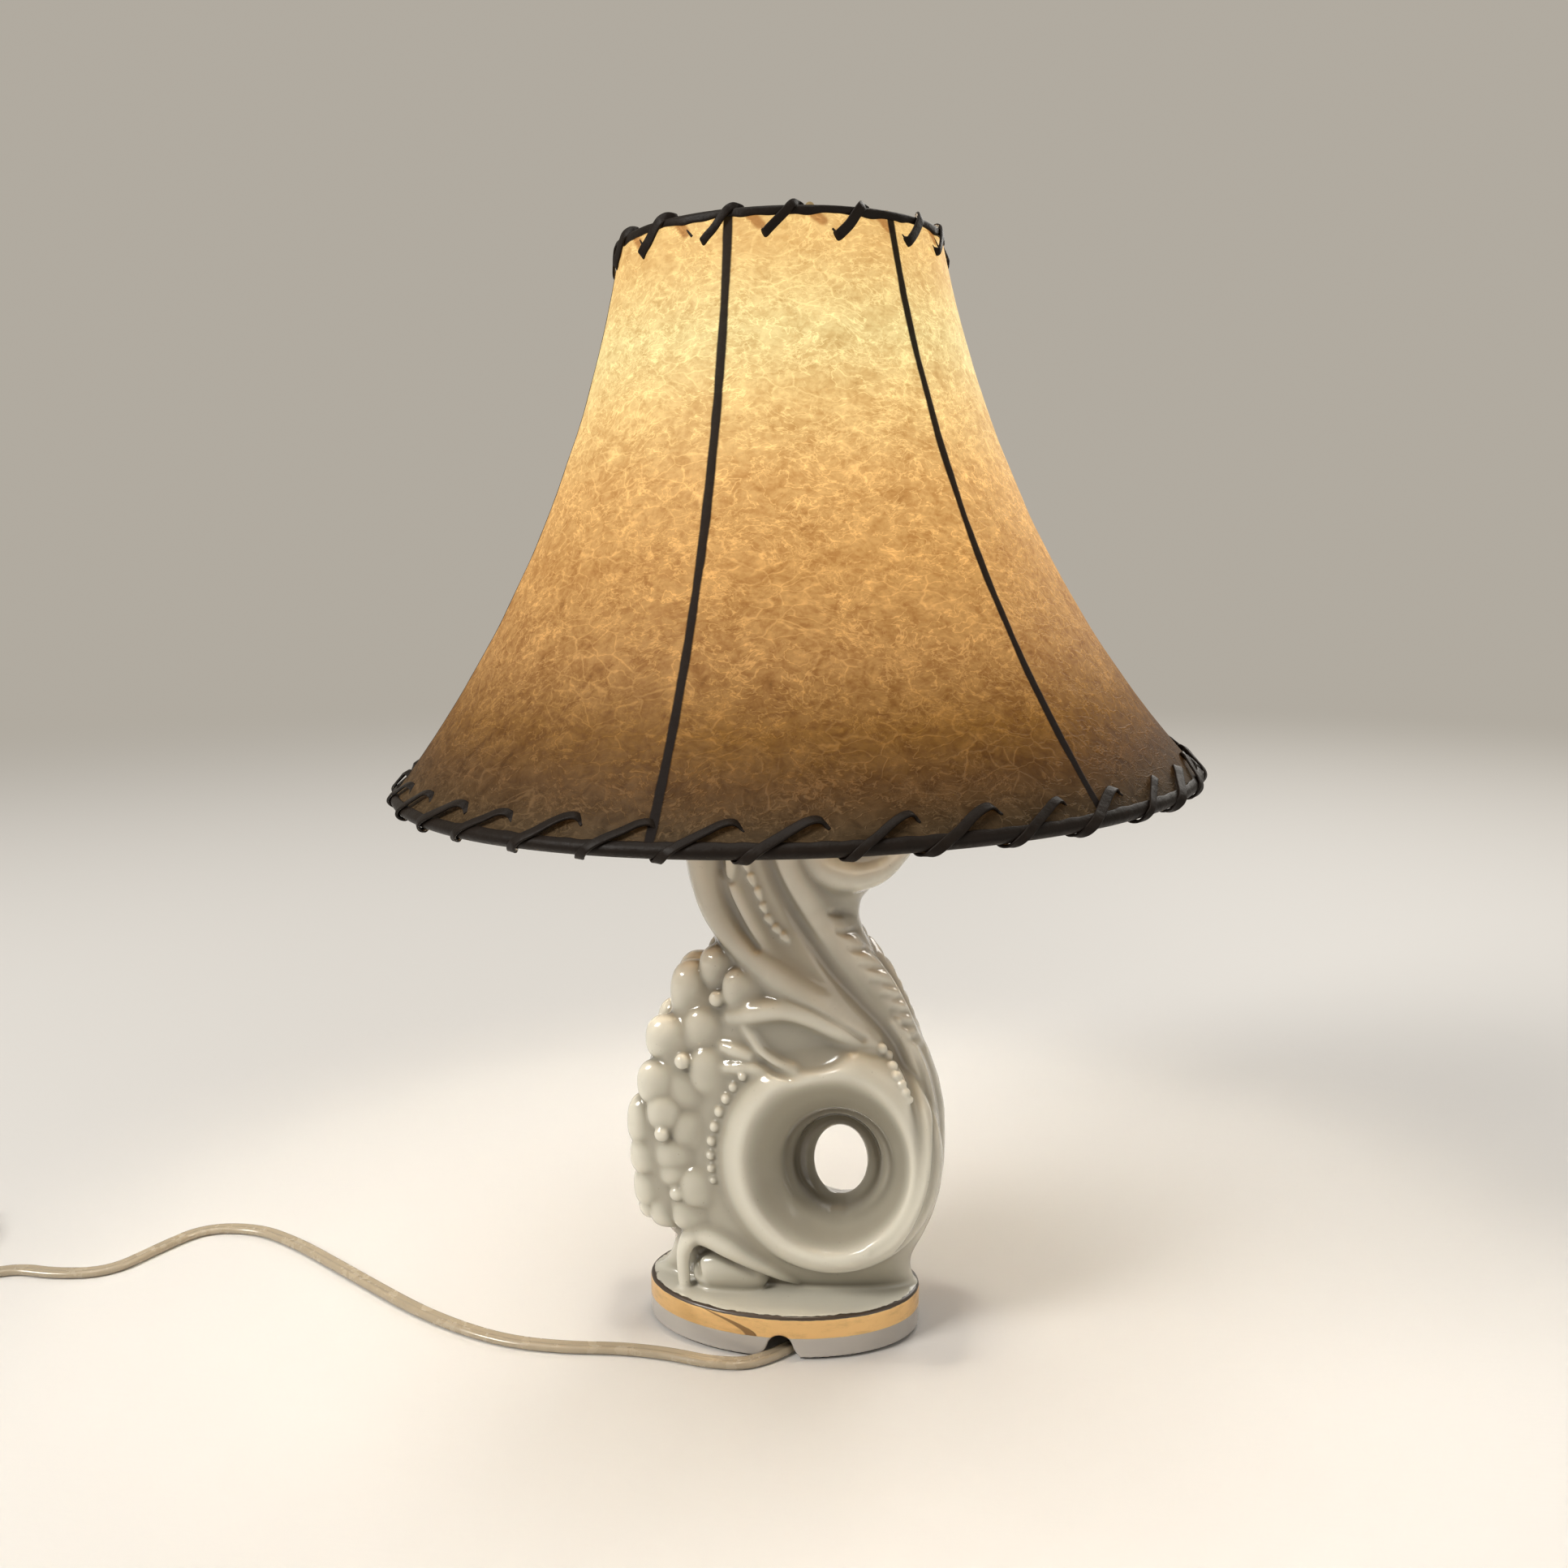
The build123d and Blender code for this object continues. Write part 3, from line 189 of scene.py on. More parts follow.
def sweep(path: Array, ups: Array, section: Array, closed: bool) -> tuple[Array, Array, list[list[int]]]:
    """Carry a flat section along a line.

    Args:
        path: The line's points.
        ups: For each point the way that the section's second axis faces.
        section: Points of the section as (across, up), anticlockwise.
        closed: Whether the line is a loop.

    Returns:
        Vertices, quads, and the two end caps when the line is open.
    """
    if closed:
        along = unit(np.roll(path, -1, 0) - np.roll(path, 1, 0))
    else:
        along = unit(np.gradient(path, axis=0))
    across = unit(np.cross(along, ups))
    up = np.cross(across, along)
    section = np.asarray(section, float)
    if section.ndim == 2:
        section = np.broadcast_to(section, (len(path), *section.shape))
    rings = path[:, None] + across[:, None] * section[..., :1] + up[:, None] * section[..., 1:]
    rows, columns = rings.shape[:2]
    quads = grid_quads(rows, columns, closed, True)[:, ::-1]
    if closed:
        return rings.reshape(-1, 3), quads, []
    caps = [list(range(columns)), list(range(rows * columns - 1, (rows - 1) * columns - 1, -1))]
    return rings.reshape(-1, 3), quads, caps


def rounded_strip(width: float, thickness: float, corner: int = 3) -> Array:
    """The section of a flat strip with rounded corners.

    Args:
        width: Its width.
        thickness: Its thickness.
        corner: How many pieces each corner is divided into.

    Returns:
        Points as (across, up), anticlockwise.
    """
    radius = 0.45 * min(width, thickness)
    rows = []
    for turn, (sx, sy) in enumerate(((1, 1), (-1, 1), (-1, -1), (1, -1))):
        centre = np.array((sx * (width / 2 - radius), sy * (thickness / 2 - radius)))
        for k in range(corner + 1):
            angle = math.pi / 2 * (turn + k / corner)
            rows.append(centre + radius * np.array((math.cos(angle), math.sin(angle))))
    return np.array(rows)


def wobble(phase: Array, seed: int, waves: Sequence[int] = (2, 3, 5, 9, 14)) -> Array:
    """A smooth random line over a full turn.

    Args:
        phase: Where it is wanted, in radians.
        seed: Which line it is.
        waves: How many waves to a turn each of its parts has.

    Returns:
        Its height at each place, about -1 to 1.
    """
    rng = np.random.default_rng(seed)
    total = np.zeros_like(phase)
    for wave in waves:
        total += rng.normal() * np.sin(wave * phase + rng.uniform(0, FULL_TURN)) / math.sqrt(wave)
    usual_height = 1.6
    return total / usual_height


# ---- clay
def smooth_join(a: Array, b: Array, blend: float) -> Array:
    """The union of two distances with a fillet of about blend."""
    share = np.clip(0.5 + 0.5 * (b - a) / blend, 0, 1)
    return b + (a - b) * share - blend * share * (1 - share)


def smooth_cut(a: Array, b: Array, blend: float) -> Array:
    """What is left of a when b is taken out, with a rounded edge."""
    return -smooth_join(-a, b, blend)


@dataclass
class Clay:
    """A block of clay on a grid: how far each cell is from the surface, negative inside."""

    low: Point3
    high: Point3
    step: float
    values: Array | None = None

    def __post_init__(self) -> None:
        """Lay out the grid's axes."""
        self.axes = [np.arange(lo, hi + self.step / 2, self.step, dtype=np.float32)
                     for lo, hi in zip(self.low, self.high)]
        if self.values is None:
            self.values = self.blank()

    def blank(self) -> Array:
        """An empty field on the same grid."""
        return np.full([len(axis) for axis in self.axes], FAR_AWAY, np.float32)

    def places(self) -> list[Array]:
        """The coordinates of the whole grid, as arrays that broadcast together."""
        return [axis.reshape([-1 if k == n else 1 for k in range(3)]) for n, axis in enumerate(self.axes)]

    def window(self, low: Sequence[float], high: Sequence[float]) -> tuple[tuple[slice, ...], list[Array]]:
        """The cells between two corners.

        Args:
            low: The lower corner.
            high: The upper corner.

        Returns:
            The slices, and the coordinates as arrays that broadcast together.
        """
        cut = []
        for lo, hi, axis in zip(low, high, self.axes):
            first, last = np.searchsorted(axis, (lo, hi))
            cut.append(slice(int(first), int(max(last, first + 1))))
        near = [place[tuple(cut[k] if k == n else slice(None) for k in range(3))]
                for n, place in enumerate(self.places())]
        return tuple(cut), near

    def blob(self, part: Array, centre: Point3, radii: Point3, power: float = 2.0) -> None:
        """Put an egg or a cushion into a part.

        Args:
            part: A field on the same grid.
            centre: Its middle.
            radii: Its half sizes.
            power: 2 for an egg; more for a squarer cushion.
        """
        reach = [r + EGG_REACH for r in radii]
        cut, places = self.window([c - r for c, r in zip(centre, reach)], [c + r for c, r in zip(centre, reach)])
        gaps = [np.maximum(np.abs(place - middle) / r, 1e-4) for place, middle, r in zip(places, centre, radii)]
        size = sum(gap**power for gap in gaps)**(1 / power)
        slope = np.sqrt(sum((gap**(power - 1) / r)**2 for gap, r in zip(gaps, radii))) / size**(power - 1)
        part[cut] = np.minimum(part[cut], (size - 1) / slope)

    def tube(self, part: Array, line: Array, radii: Array) -> None:
        """Put a round tube of changing thickness into a part.

        Args:
            part: A field on the same grid.
            line: The points of the tube's middle.
            radii: Its radius at each point.
        """
        for a, b, ra, rb in zip(line, line[1:], radii, radii[1:]):
            reach = max(ra, rb) + TUBE_REACH
            cut, places = self.window(np.minimum(a, b) - reach, np.maximum(a, b) + reach)
            run = b - a
            share = sum((place - start) * way for place, start, way in zip(places, a, run))
            share = np.clip(share / max(float(run @ run), 1e-9), 0, 1)
            gap = np.sqrt(sum((place - start - share * way)**2 for place, start, way in zip(places, a, run)))
            part[cut] = np.minimum(part[cut], gap - ra - (rb - ra) * share)

    def join(self, part: Array, blend: float) -> None:
        """Add a part with a fillet."""
        self.values = smooth_join(self.values, part, blend)

    def carve(self, part: Array, blend: float) -> None:
        """Take a part away with a rounded edge."""
        self.values = smooth_cut(self.values, part, blend)

    def with_back(self) -> "Clay":
        """The same block with its other half, mirrored in the plane y = 0."""
        whole = np.concatenate((self.values, self.values[:, ::-1]), axis=1)
        return Clay(self.low, (self.high[0], -self.low[1], self.high[2]), self.step, whole)

    def crowding(self, radius: float) -> Array:
        """Measure how full the space round each cell is: high in a crease, low on a crest.

        Args:
            radius: How far round a cell counts.

        Returns:
            The share that is full, from 0 to 1.
        """
        full = np.clip(0.5 - self.values / self.step, 0, 1)
        reach = max(1, round(radius / self.step))
        for axis in (0, 0, 1, 1, 2, 2):
            sums = np.cumsum(full, axis, dtype=np.float64)
            sums = np.concatenate((np.zeros_like(full.take([0], axis)), sums), axis)
            here = np.arange(full.shape[axis])
            top, low = np.minimum(here + reach + 1, len(here)), np.maximum(here - reach, 0)
            full = ((sums.take(top, axis) - sums.take(low, axis)) / (2 * reach + 1)).astype(np.float32)
        return full

    def sample(self, values: Array, places: Array) -> Array:
        """Read a field between the cells.

        Args:
            values: A field on this grid.
            places: Points in grid units, one row each.

        Returns:
            One value per point.
        """
        top = np.array(values.shape) - 2
        base = np.clip(np.floor(places).astype(int), 0, top)
        share = np.clip(places - base, 0, 1)
        total = np.zeros(len(places))
        for corner in np.ndindex(2, 2, 2):
            weight = np.ones(len(places))
            for axis, high in enumerate(corner):
                weight *= share[:, axis] if high else 1 - share[:, axis]
            total += weight * values[tuple((base + corner).T)]
        return total

    def skin(self) -> tuple[Array, Array]:
        """Find the surface.

        Returns:
            Vertices in grid units, and quads that face outward.
        """
        inside = self.values < 0
        cells = np.array(inside.shape) - 1
        sums, counts = np.zeros((int(np.prod(cells)), 3)), np.zeros(int(np.prod(cells)))
        quads = []
        for axis in range(3):
            a, b = (axis + 1) % 3, (axis + 2) % 3
            low = tuple(slice(0, -1) if k == axis else slice(1, -1) for k in range(3))
            high = tuple(slice(1, None) if k == axis else slice(1, -1) for k in range(3))
            where = np.argwhere(inside[low] != inside[high]) + [int(k != axis) for k in range(3)]
            beyond = where.copy()
            beyond[:, axis] += 1
            first, second = self.values[tuple(where.T)], self.values[tuple(beyond.T)]
            places = where.astype(float)
            places[:, axis] += first / (first - second)
            ring = []
            for da, db in ((-1, -1), (0, -1), (0, 0), (-1, 0)):
                cell = where.copy()
                cell[:, a] += da
                cell[:, b] += db
                number = np.ravel_multi_index(tuple(cell.T), tuple(cells))
                counts += np.bincount(number, minlength=len(counts))
                for k in range(3):
                    sums[:, k] += np.bincount(number, places[:, k], minlength=len(counts))
                ring.append(number)
            ring = np.stack(ring, -1)
            outward = first < 0
            quads += [ring[outward], ring[~outward][:, ::-1]]
        used = np.flatnonzero(counts)
        number = np.zeros(len(counts), int)
        number[used] = np.arange(len(used))
        return sums[used] / counts[used, None], number[np.vstack(quads)]

    def settle(self, vertices: Array, quads: Array, rounds: int) -> Array:
        """Relax the vertices and lay them back on the surface.

        Args:
            vertices: Points in grid units.
            quads: The faces.
            rounds: How often to relax.

        Returns:
            The new points in grid units.
        """
        stay, relax, least_slope = 0.4, 0.6, 0.3
        before = np.roll(quads, 1, 1)
        here, there = np.concatenate((quads, before)).ravel(), np.concatenate((before, quads)).ravel()
        degree = np.bincount(here, minlength=len(vertices))[:, None]
        slopes = [slope / self.step for slope in np.gradient(self.values)]
        for _ in range(rounds):
            mean = np.stack([np.bincount(here, vertices[there, k], len(vertices)) for k in range(3)], 1) / degree
            vertices = stay * vertices + relax * mean
            height = self.sample(self.values, vertices)
            way = np.stack([self.sample(slope, vertices) for slope in slopes], 1)
            vertices = vertices - (height / np.maximum((way**2).sum(1), least_slope))[:, None] * way / self.step
        return vertices


# ---- node maths
def sum_node(operation: str, reflected: bool = False) -> Callable[..., "Maths"]:
    """Write an operator or a method that adds one Math node.

    Args:
        operation: What the node does.
        reflected: Whether the socket itself comes last.

    Returns:
        The method.
    """
    def method(own: "Maths", *others: Any) -> "Maths":
        """Add the node."""
        return own.join(operation, *((*others, own) if reflected else (own, *others)))
    return method


class Maths:
    """A socket that takes part in written sums, each of which adds a Math node."""

    def __init__(self, recipe: "Recipe", socket: bpy.types.NodeSocket) -> None:
        """Wrap a socket of a recipe."""
        self.recipe, self.socket = recipe, socket

    def join(self, operation: str, *values: Any, clamp: bool = False) -> "Maths":
        """Add one Math node.

        Args:
            operation: What it does.
            *values: What goes to its sockets in turn.
            clamp: Whether its result is held between 0 and 1.

        Returns:
            The result.
        """
        settings = {"operation": operation, "use_clamp": clamp}
        return Maths(self.recipe, self.recipe.node("ShaderNodeMath", settings, dict(enumerate(values))).outputs[0])

    __add__, __radd__ = sum_node("ADD"), sum_node("ADD", True)
    __sub__, __rsub__ = sum_node("SUBTRACT"), sum_node("SUBTRACT", True)
    __mul__, __rmul__ = sum_node("MULTIPLY"), sum_node("MULTIPLY", True)
    __truediv__, __rtruediv__ = sum_node("DIVIDE"), sum_node("DIVIDE", True)
    __pow__, __rpow__ = sum_node("POWER"), sum_node("POWER", True)
    __abs__ = sum_node("ABSOLUTE")
    root = sum_node("SQRT")
    least = sum_node("MINIMUM")

    def within(self) -> "Maths":
        """Held between 0 and 1."""
        return self.join("ADD", self, 0.0, clamp=True)

    def ramp(self, low: float, high: float) -> "Maths":
        """Make a smooth step; low may be the greater.

        Args:
            low: Where it is 0.
            high: Where it is 1.

        Returns:
            The step.
        """
        ends = (low, high, 0.0, 1.0) if low < high else (high, low, 1.0, 0.0)
        settings = {"interpolation_type": "SMOOTHSTEP"}
        node = self.recipe.node("ShaderNodeMapRange", settings, {0: self, **dict(enumerate(ends, 1))})
        return Maths(self.recipe, node.outputs[0])


@dataclass(frozen=True)
class Noise:
    """A noise pattern: its scale to the metre, layers, roughness and warp, and how far it is squeezed."""

    scale: float
    detail: float = 3.0
    rough: float = 0.55
    warp: float = 0.0
    squeeze: Point3 | None = None


class Recipe:
    """One material's nodes."""

    def __init__(self, name: str) -> None:
        """Start an empty material.

        Args:
            name: The material's name.
        """
        self.material = bpy.data.materials.new(name)
        self.material.use_nodes = True
        self.tree = self.material.node_tree
        self.tree.nodes.clear()
        self.shader = self.node("ShaderNodeBsdfPrincipled", {}, {})
        self.out = self.node("ShaderNodeOutputMaterial", {}, {"Surface": self.shader.outputs[0]})

    def put(self, socket: bpy.types.NodeSocket, value: Any) -> None:
        """Set or link a socket.

        Args:
            socket: The socket.
            value: A number, a colour, a socket or a sum.
        """
        value = value.socket if isinstance(value, Maths) else value
        if isinstance(value, bpy.types.NodeSocket):
            self.tree.links.new(value, socket)
        else:
            socket.default_value = (*value, 1.0) if isinstance(value, tuple) and socket.type == "RGBA" else value

    def node(self, kind: str, settings: dict[str, Any], values: dict[Any, Any]) -> bpy.types.Node:
        """Add a node.

        Args:
            kind: The node's type.
            settings: Its properties, or "stops" for a colour ramp.
            values: What goes to its sockets, by name or number.

        Returns:
            The node.
        """
        node = self.tree.nodes.new(kind)
        for key, value in settings.items():
            if key == "stops":
                while len(node.color_ramp.elements) < len(value):
                    node.color_ramp.elements.new(0.5)
                for element, (place, colour) in zip(node.color_ramp.elements, value):
                    element.position, element.color = place, (*colour, 1.0)
            else:
                setattr(node, key, value)
        for key, value in values.items():
            self.put(node.inputs[key], value)
        return node

    def feed(self, **values: Any) -> None:
        """Set or link the surface's inputs; an underscore in a name stands for a space."""
        for key, value in values.items():
            self.put(self.shader.inputs[key.replace("_", " ")], value)

    def place(self) -> tuple[bpy.types.NodeSocket, list[Maths]]:
        """Find where a point lies on the piece.

        Returns:
            Its own coordinates in metres, whole and as x, y, z.
        """
        whole = self.node("ShaderNodeTexCoord", {}, {}).outputs["Object"]
        parts = self.node("ShaderNodeSeparateXYZ", {}, {0: whole})
        return whole, [Maths(self, out) for out in parts.outputs]

    def marked(self, name: str) -> Maths:
        """A value that the mesh's vertices carry."""
        return Maths(self, self.node("ShaderNodeAttribute", {"attribute_name": name}, {}).outputs["Fac"])

    def vector(self, operation: str, values: dict[Any, Any]) -> bpy.types.NodeSocket:
        """A sum of vectors or colours."""
        return self.node("ShaderNodeVectorMath", {"operation": operation}, values).outputs[0]

    def squeezed(self, where: bpy.types.NodeSocket, squeeze: Point3) -> bpy.types.NodeSocket:
        """Coordinates multiplied along each axis."""
        return self.vector("MULTIPLY", {0: where, 1: squeeze})

    def noise(self, where: bpy.types.NodeSocket, pattern: Noise, output: int = 0) -> Maths:
        """Add a noise pattern.

        Args:
            where: Its coordinates.
            pattern: What it looks like.
            output: 0 for one height, about 0.5 on average, or 1 for three.

        Returns:
            The noise.
        """
        where = self.squeezed(where, pattern.squeeze) if pattern.squeeze else where
        return Maths(self, self.node("ShaderNodeTexNoise", {}, {
            "Vector": where, "Scale": pattern.scale, "Detail": pattern.detail, "Roughness": pattern.rough,
            "Distortion": pattern.warp}).outputs[output])

    def cell_walls(self, where: bpy.types.NodeSocket, scale: float) -> Maths:
        """Distance from the walls of a pattern of cells."""
        return Maths(self, self.node("ShaderNodeTexVoronoi", {"feature": "DISTANCE_TO_EDGE"},
                                     {"Vector": where, "Scale": scale}).outputs["Distance"])

    def shades(self, share: Maths, stops: Sequence[tuple[float, Colour]]) -> bpy.types.NodeSocket:
        """A colour that runs through stops."""
        return self.node("ShaderNodeValToRGB", {"stops": stops}, {0: share}).outputs[0]

    def mix(self, share: Any, first: Any, second: Any, mode: str = "MIX") -> bpy.types.NodeSocket:
        """Mix two colours: first at share 0, second at share 1."""
        node = self.node("ShaderNodeMix", {"data_type": "RGBA", "blend_type": mode}, {0: share, 6: first, 7: second})
        return node.outputs[2]

    def dull(self, share: Any, colour: Any, shade: Colour) -> bpy.types.NodeSocket:
        """A colour that is multiplied by a shade where the share is 1."""
        return self.mix(share, colour, self.mix(1.0, colour, shade, "MULTIPLY"))

    def bump(self, height: Maths, strength: float, depth: float) -> None:
        """Raise the surface by a height of 0 to 1 times depth in metres."""
        node = self.node("ShaderNodeBump", {}, {"Strength": strength, "Distance": depth, "Height": height})
        self.feed(Normal=node.outputs[0])

    def cover(self, share: Maths, other: bpy.types.Node) -> None:
        """Show another shader by a share of 0 to 1."""
        both = self.node("ShaderNodeMixShader", {}, {0: share, 1: self.shader.outputs[0], 2: other.outputs[0]})
        self.put(self.out.inputs["Surface"], both.outputs[0])


# ---- finishes
@dataclass(frozen=True)
class Glaze:
    """Glossy off-white glaze in its own tone on crests, with painted shade on flats and more in creases and the bowl,
    and gilt bands round the plinth.
    """

    # crest is the glaze's own tone; the middle and last colours are painted shade for flats and creases, and the last
    # also colours the specks
    crest: Colour = (0.68, 0.655, 0.56)
    middle: Colour = (0.37, 0.345, 0.275)
    crease_shade_and_speck: Colour = (0.10, 0.085, 0.06)
    middle_stop: float = 0.42
    gilt: Colour = (0.86, 0.56, 0.24)
    worn_gilt: Colour = (0.50, 0.31, 0.13)
    brush_end: Colour = (0.20, 0.10, 0.03)
    line: Colour = (0.040, 0.024, 0.013)
    lower_band: Colour = (0.44, 0.41, 0.375)
    pooling: Noise = Noise(55.0, 4.0)
    specks: Noise = Noise(900.0, 1.0)
    brush_edge: Noise = Noise(260.0, 2.0)
    wear: Noise = Noise(120.0, 6.0, 0.7, squeeze=(1.0, 1.0, 3.0))
    peel: Noise = Noise(130.0, 2.0)
    fine_peel: Noise = Noise(420.0, 2.0)
    # the plinth's half sizes in metres, and the share of them where the bands begin
    oval: Point2 = (0.0475, 0.0293)
    band_reach: float = 0.93
    # heights in millimetres
    line_top: float = 15.3
    gilt_top: float = 14.4
    gilt_low: float = 7.8
    line_edge: float = 0.15
    low_edge: float = 0.2
    # the brush lap: where it starts along the plinth, how far it runs and bends, its thickness and its fraying
    lap_start: float = -7.4
    lap_run: float = 16.5
    lap_bend: float = 1.9
    lap_foot: float = 2.0
    lap_loss: float = 1.5
    lap_spread: float = 1.8
    second_lap: float = 1.9

    def make(self) -> bpy.types.Material:
        """Build the glaze.

        Returns:
            The material.
        """
        recipe = Recipe("glaze")
        where, (x, y, z) = recipe.place()
        pool = recipe.noise(where, self.pooling)
        # painted shade: the shade amount carried on the vertices (creases and the bowl) picks a darker colour, with a
        # little random tone
        shade_amount = (recipe.marked("recess") + (pool - 0.5) * 0.10).within()
        body = recipe.shades(shade_amount, ((0.0, self.crest), (self.middle_stop, self.middle), (1.0, self.crease_shade_and_speck)))
        body = recipe.mix(recipe.noise(where, self.specks).ramp(0.74, 0.80) * 0.25, body, self.crease_shade_and_speck)
        height = z * PER_MM + (recipe.noise(where, self.brush_edge) - 0.5) * 0.35
        rim = ((x / self.oval[0])**2 + (y / self.oval[1])**2).root()
        side = rim.ramp(self.band_reach, self.band_reach + 0.012) * height.ramp(self.line_top + 0.05, self.line_top)
        wear = recipe.noise(where, self.wear)
        lap = self.lap(recipe, x, y, z)
        gilt_tone = recipe.mix(wear.ramp(0.45, 0.75) * 0.5, self.gilt, self.worn_gilt)
        gilt_tone = recipe.mix(lap, gilt_tone, self.brush_end)
        line_foot, gilt_foot = self.gilt_top - self.line_edge, self.gilt_low + self.low_edge
        in_gilt = side * height.ramp(self.gilt_top, line_foot) * height.ramp(self.gilt_low, gilt_foot)
        in_line = side * height.ramp(line_foot, self.gilt_top)
        in_low = side * height.ramp(gilt_foot, self.gilt_low)
        colour = recipe.mix(in_low, body, self.lower_band)
        colour = recipe.mix(in_gilt, colour, gilt_tone)
        colour = recipe.mix(in_line, colour, self.line)
        recipe.feed(Base_Color=colour, Metallic=in_gilt * (1 - lap * 0.5) * 0.75,
                    Roughness=0.10 + pool * 0.08 + in_gilt * (0.12 + wear * 0.16) + in_line * 0.3,
                    Coat_Weight=0.35, Coat_Roughness=0.04, IOR=1.52)
        orange_peel = recipe.noise(where, self.peel) * 0.8 + recipe.noise(where, self.fine_peel) * 0.2
        recipe.bump(orange_peel + in_line * 0.8, 0.35, 0.0002)
        return recipe.material

    def lap(self, recipe: Recipe, x: Maths, y: Maths, z: Maths) -> Maths:
        """The brown curl where the gilding brush began and ended.

        Args:
            recipe: The glaze.
            x: Metres along the plinth.
            y: Metres across it.
            z: Metres up.

        Returns:
            1 on the curl, 0 elsewhere.
        """
        up = ((z * PER_MM - self.gilt_low) * (1 / (self.gilt_top - self.gilt_low))).within()
        swirl = recipe.noise(recipe.place()[0], self.brush_edge) - 0.5
        gap = x * PER_MM - self.lap_start + up**self.lap_bend * self.lap_run + swirl * 0.9
        away = abs(gap) / (1 + up * self.lap_spread)
        second = abs(gap - self.second_lap) / (1 + up * self.lap_spread) + up * 1.2
        thick = self.lap_foot - up * self.lap_loss
        return y.ramp(0.0, -0.01) * ((thick - away) * 2.2).within() * 0.9 + ((0.55 - second) * 2.0).within() * 0.5


@dataclass(frozen=True)
class Parchment:
    """Lit laced parchment: crinkled, mottled, brightest opposite the bulb, with the ribs' painted shadow lines."""

    sheet: Colour = (0.036, 0.021, 0.008)
    pale: Colour = (0.105, 0.066, 0.032)
    # the painted shadow colour of the ribs
    rib_shadow_line: Colour = (0.006, 0.003, 0.002)
    shadow: Colour = (1.08, 0.91, 0.75)
    lace_shade: Colour = (0.58, 0.42, 0.32)
    warm: Colour = (0.80, 0.54, 0.26)
    # height in millimetres and the light that comes through there
    glow: tuple = ((198.0, (0.0, 0.0, 0.0)), (208.0, (0.045, 0.014, 0.0)), (220.0, (0.155, 0.064, 0.006)),
                   (238.0, (0.38, 0.19, 0.055)), (262.0, (0.57, 0.30, 0.09)), (286.0, (0.71, 0.41, 0.14)),
                   (306.0, (0.84, 0.57, 0.225)), (326.0, (0.87, 0.71, 0.32)), (350.0, (0.83, 0.55, 0.21)))
    through: float = 0.045
    # a rib's painted shadow line: its half width in millimetres, how far its edges wander, and where they begin and
    # end
    rib_shadow_half_width: float = 1.25
    rib_shadow_wander: float = 1.1
    rib_shadow_edge: Point2 = (0.35, -0.25)
    clouds: Noise = Noise(20.0, 4.0, 0.6, 0.6)
    mottle: Noise = Noise(150.0, 5.0, 0.68, 0.9, (1.0, 1.0, 1.3))
    patches: Noise = Noise(210.0, 3.0, 0.55, 1.2, (1.0, 1.0, 1.6))
    grain: Noise = Noise(520.0, 3.0, 0.6, squeeze=(1.0, 1.0, 1.6))
    wander: Noise = Noise(60.0, 3.0)
    drift: Noise = Noise(42.0, 4.0, 0.5)
    drift_reach: float = 0.016
    flattened: Point3 = (1.0, 1.0, 2.4)
    ridges: Noise = Noise(125.0, 3.0, 0.55)
    small_ridges: Noise = Noise(300.0, 3.0, 0.55, squeeze=(1.0, 1.0, 1.5))
    net_scale: float = 105.0
    ridge_places: Noise = Noise(48.0, 3.0)
    small_places: Noise = Noise(70.0, 2.0)

    def make(self) -> bpy.types.Material:
        """Build the parchment.

        Returns:
            The material.
        """
        recipe = Recipe("parchment")
        where, (x, y, z) = recipe.place()
        low, high = self.glow[0][0] * MM, self.glow[-1][0] * MM
        up = (z - low) * (1 / (high - low))
        shine = recipe.shades(up, [((height * MM - low) / (high - low), colour) for height, colour in self.glow])
        clouds, mottle, grain = (recipe.noise(where, kind) for kind in (self.clouds, self.mottle, self.grain))
        patch = recipe.noise(where, self.patches).ramp(0.44, 0.58)
        veins = self.veins(recipe, where)
        uneven = (clouds - 0.5) * 0.6 + (mottle - 0.5) * 1.2 + (patch - 0.5) * 0.15 + (grain - 0.5) * 0.6
        height = up.within()
        bright = (1 + uneven * (1.3 - height * 0.65)) * (0.92 + veins * (0.50 - height * 0.16))
        # painted shadow: the ribs darken the base colour and cut the glow
        rib_shadow_line = self.rib_shadow_lines(x, y, recipe.noise(where, self.wander))
        base = recipe.mix((0.3 + (mottle - 0.5) * 2.0 + veins * 0.8).within(), self.sheet, self.pale)
        base = recipe.mix(rib_shadow_line, base, self.rib_shadow_line)
        # painted shadow of the thongs that pass behind the skin
        shine = recipe.dull(recipe.marked("behind"), shine, self.lace_shade)
        shine = recipe.dull(((1 - bright) * 3).within(), shine, self.shadow)
        shine = recipe.vector("SCALE", {0: shine, "Scale": bright * (1 - rib_shadow_line * 0.985)})
        recipe.feed(Base_Color=base, Emission_Color=shine, Emission_Strength=1.0, Roughness=0.50 + grain * 0.2,
                    IOR=1.45, Specular_IOR_Level=0.12)
        recipe.bump((mottle * 0.5 + veins * 0.6) * (1 - rib_shadow_line) + rib_shadow_line * 0.8, 0.6, 0.0005)
        recipe.cover((1 - rib_shadow_line) * self.through, recipe.node("ShaderNodeBsdfTranslucent", {}, {"Color": self.warm}))
        return recipe.material

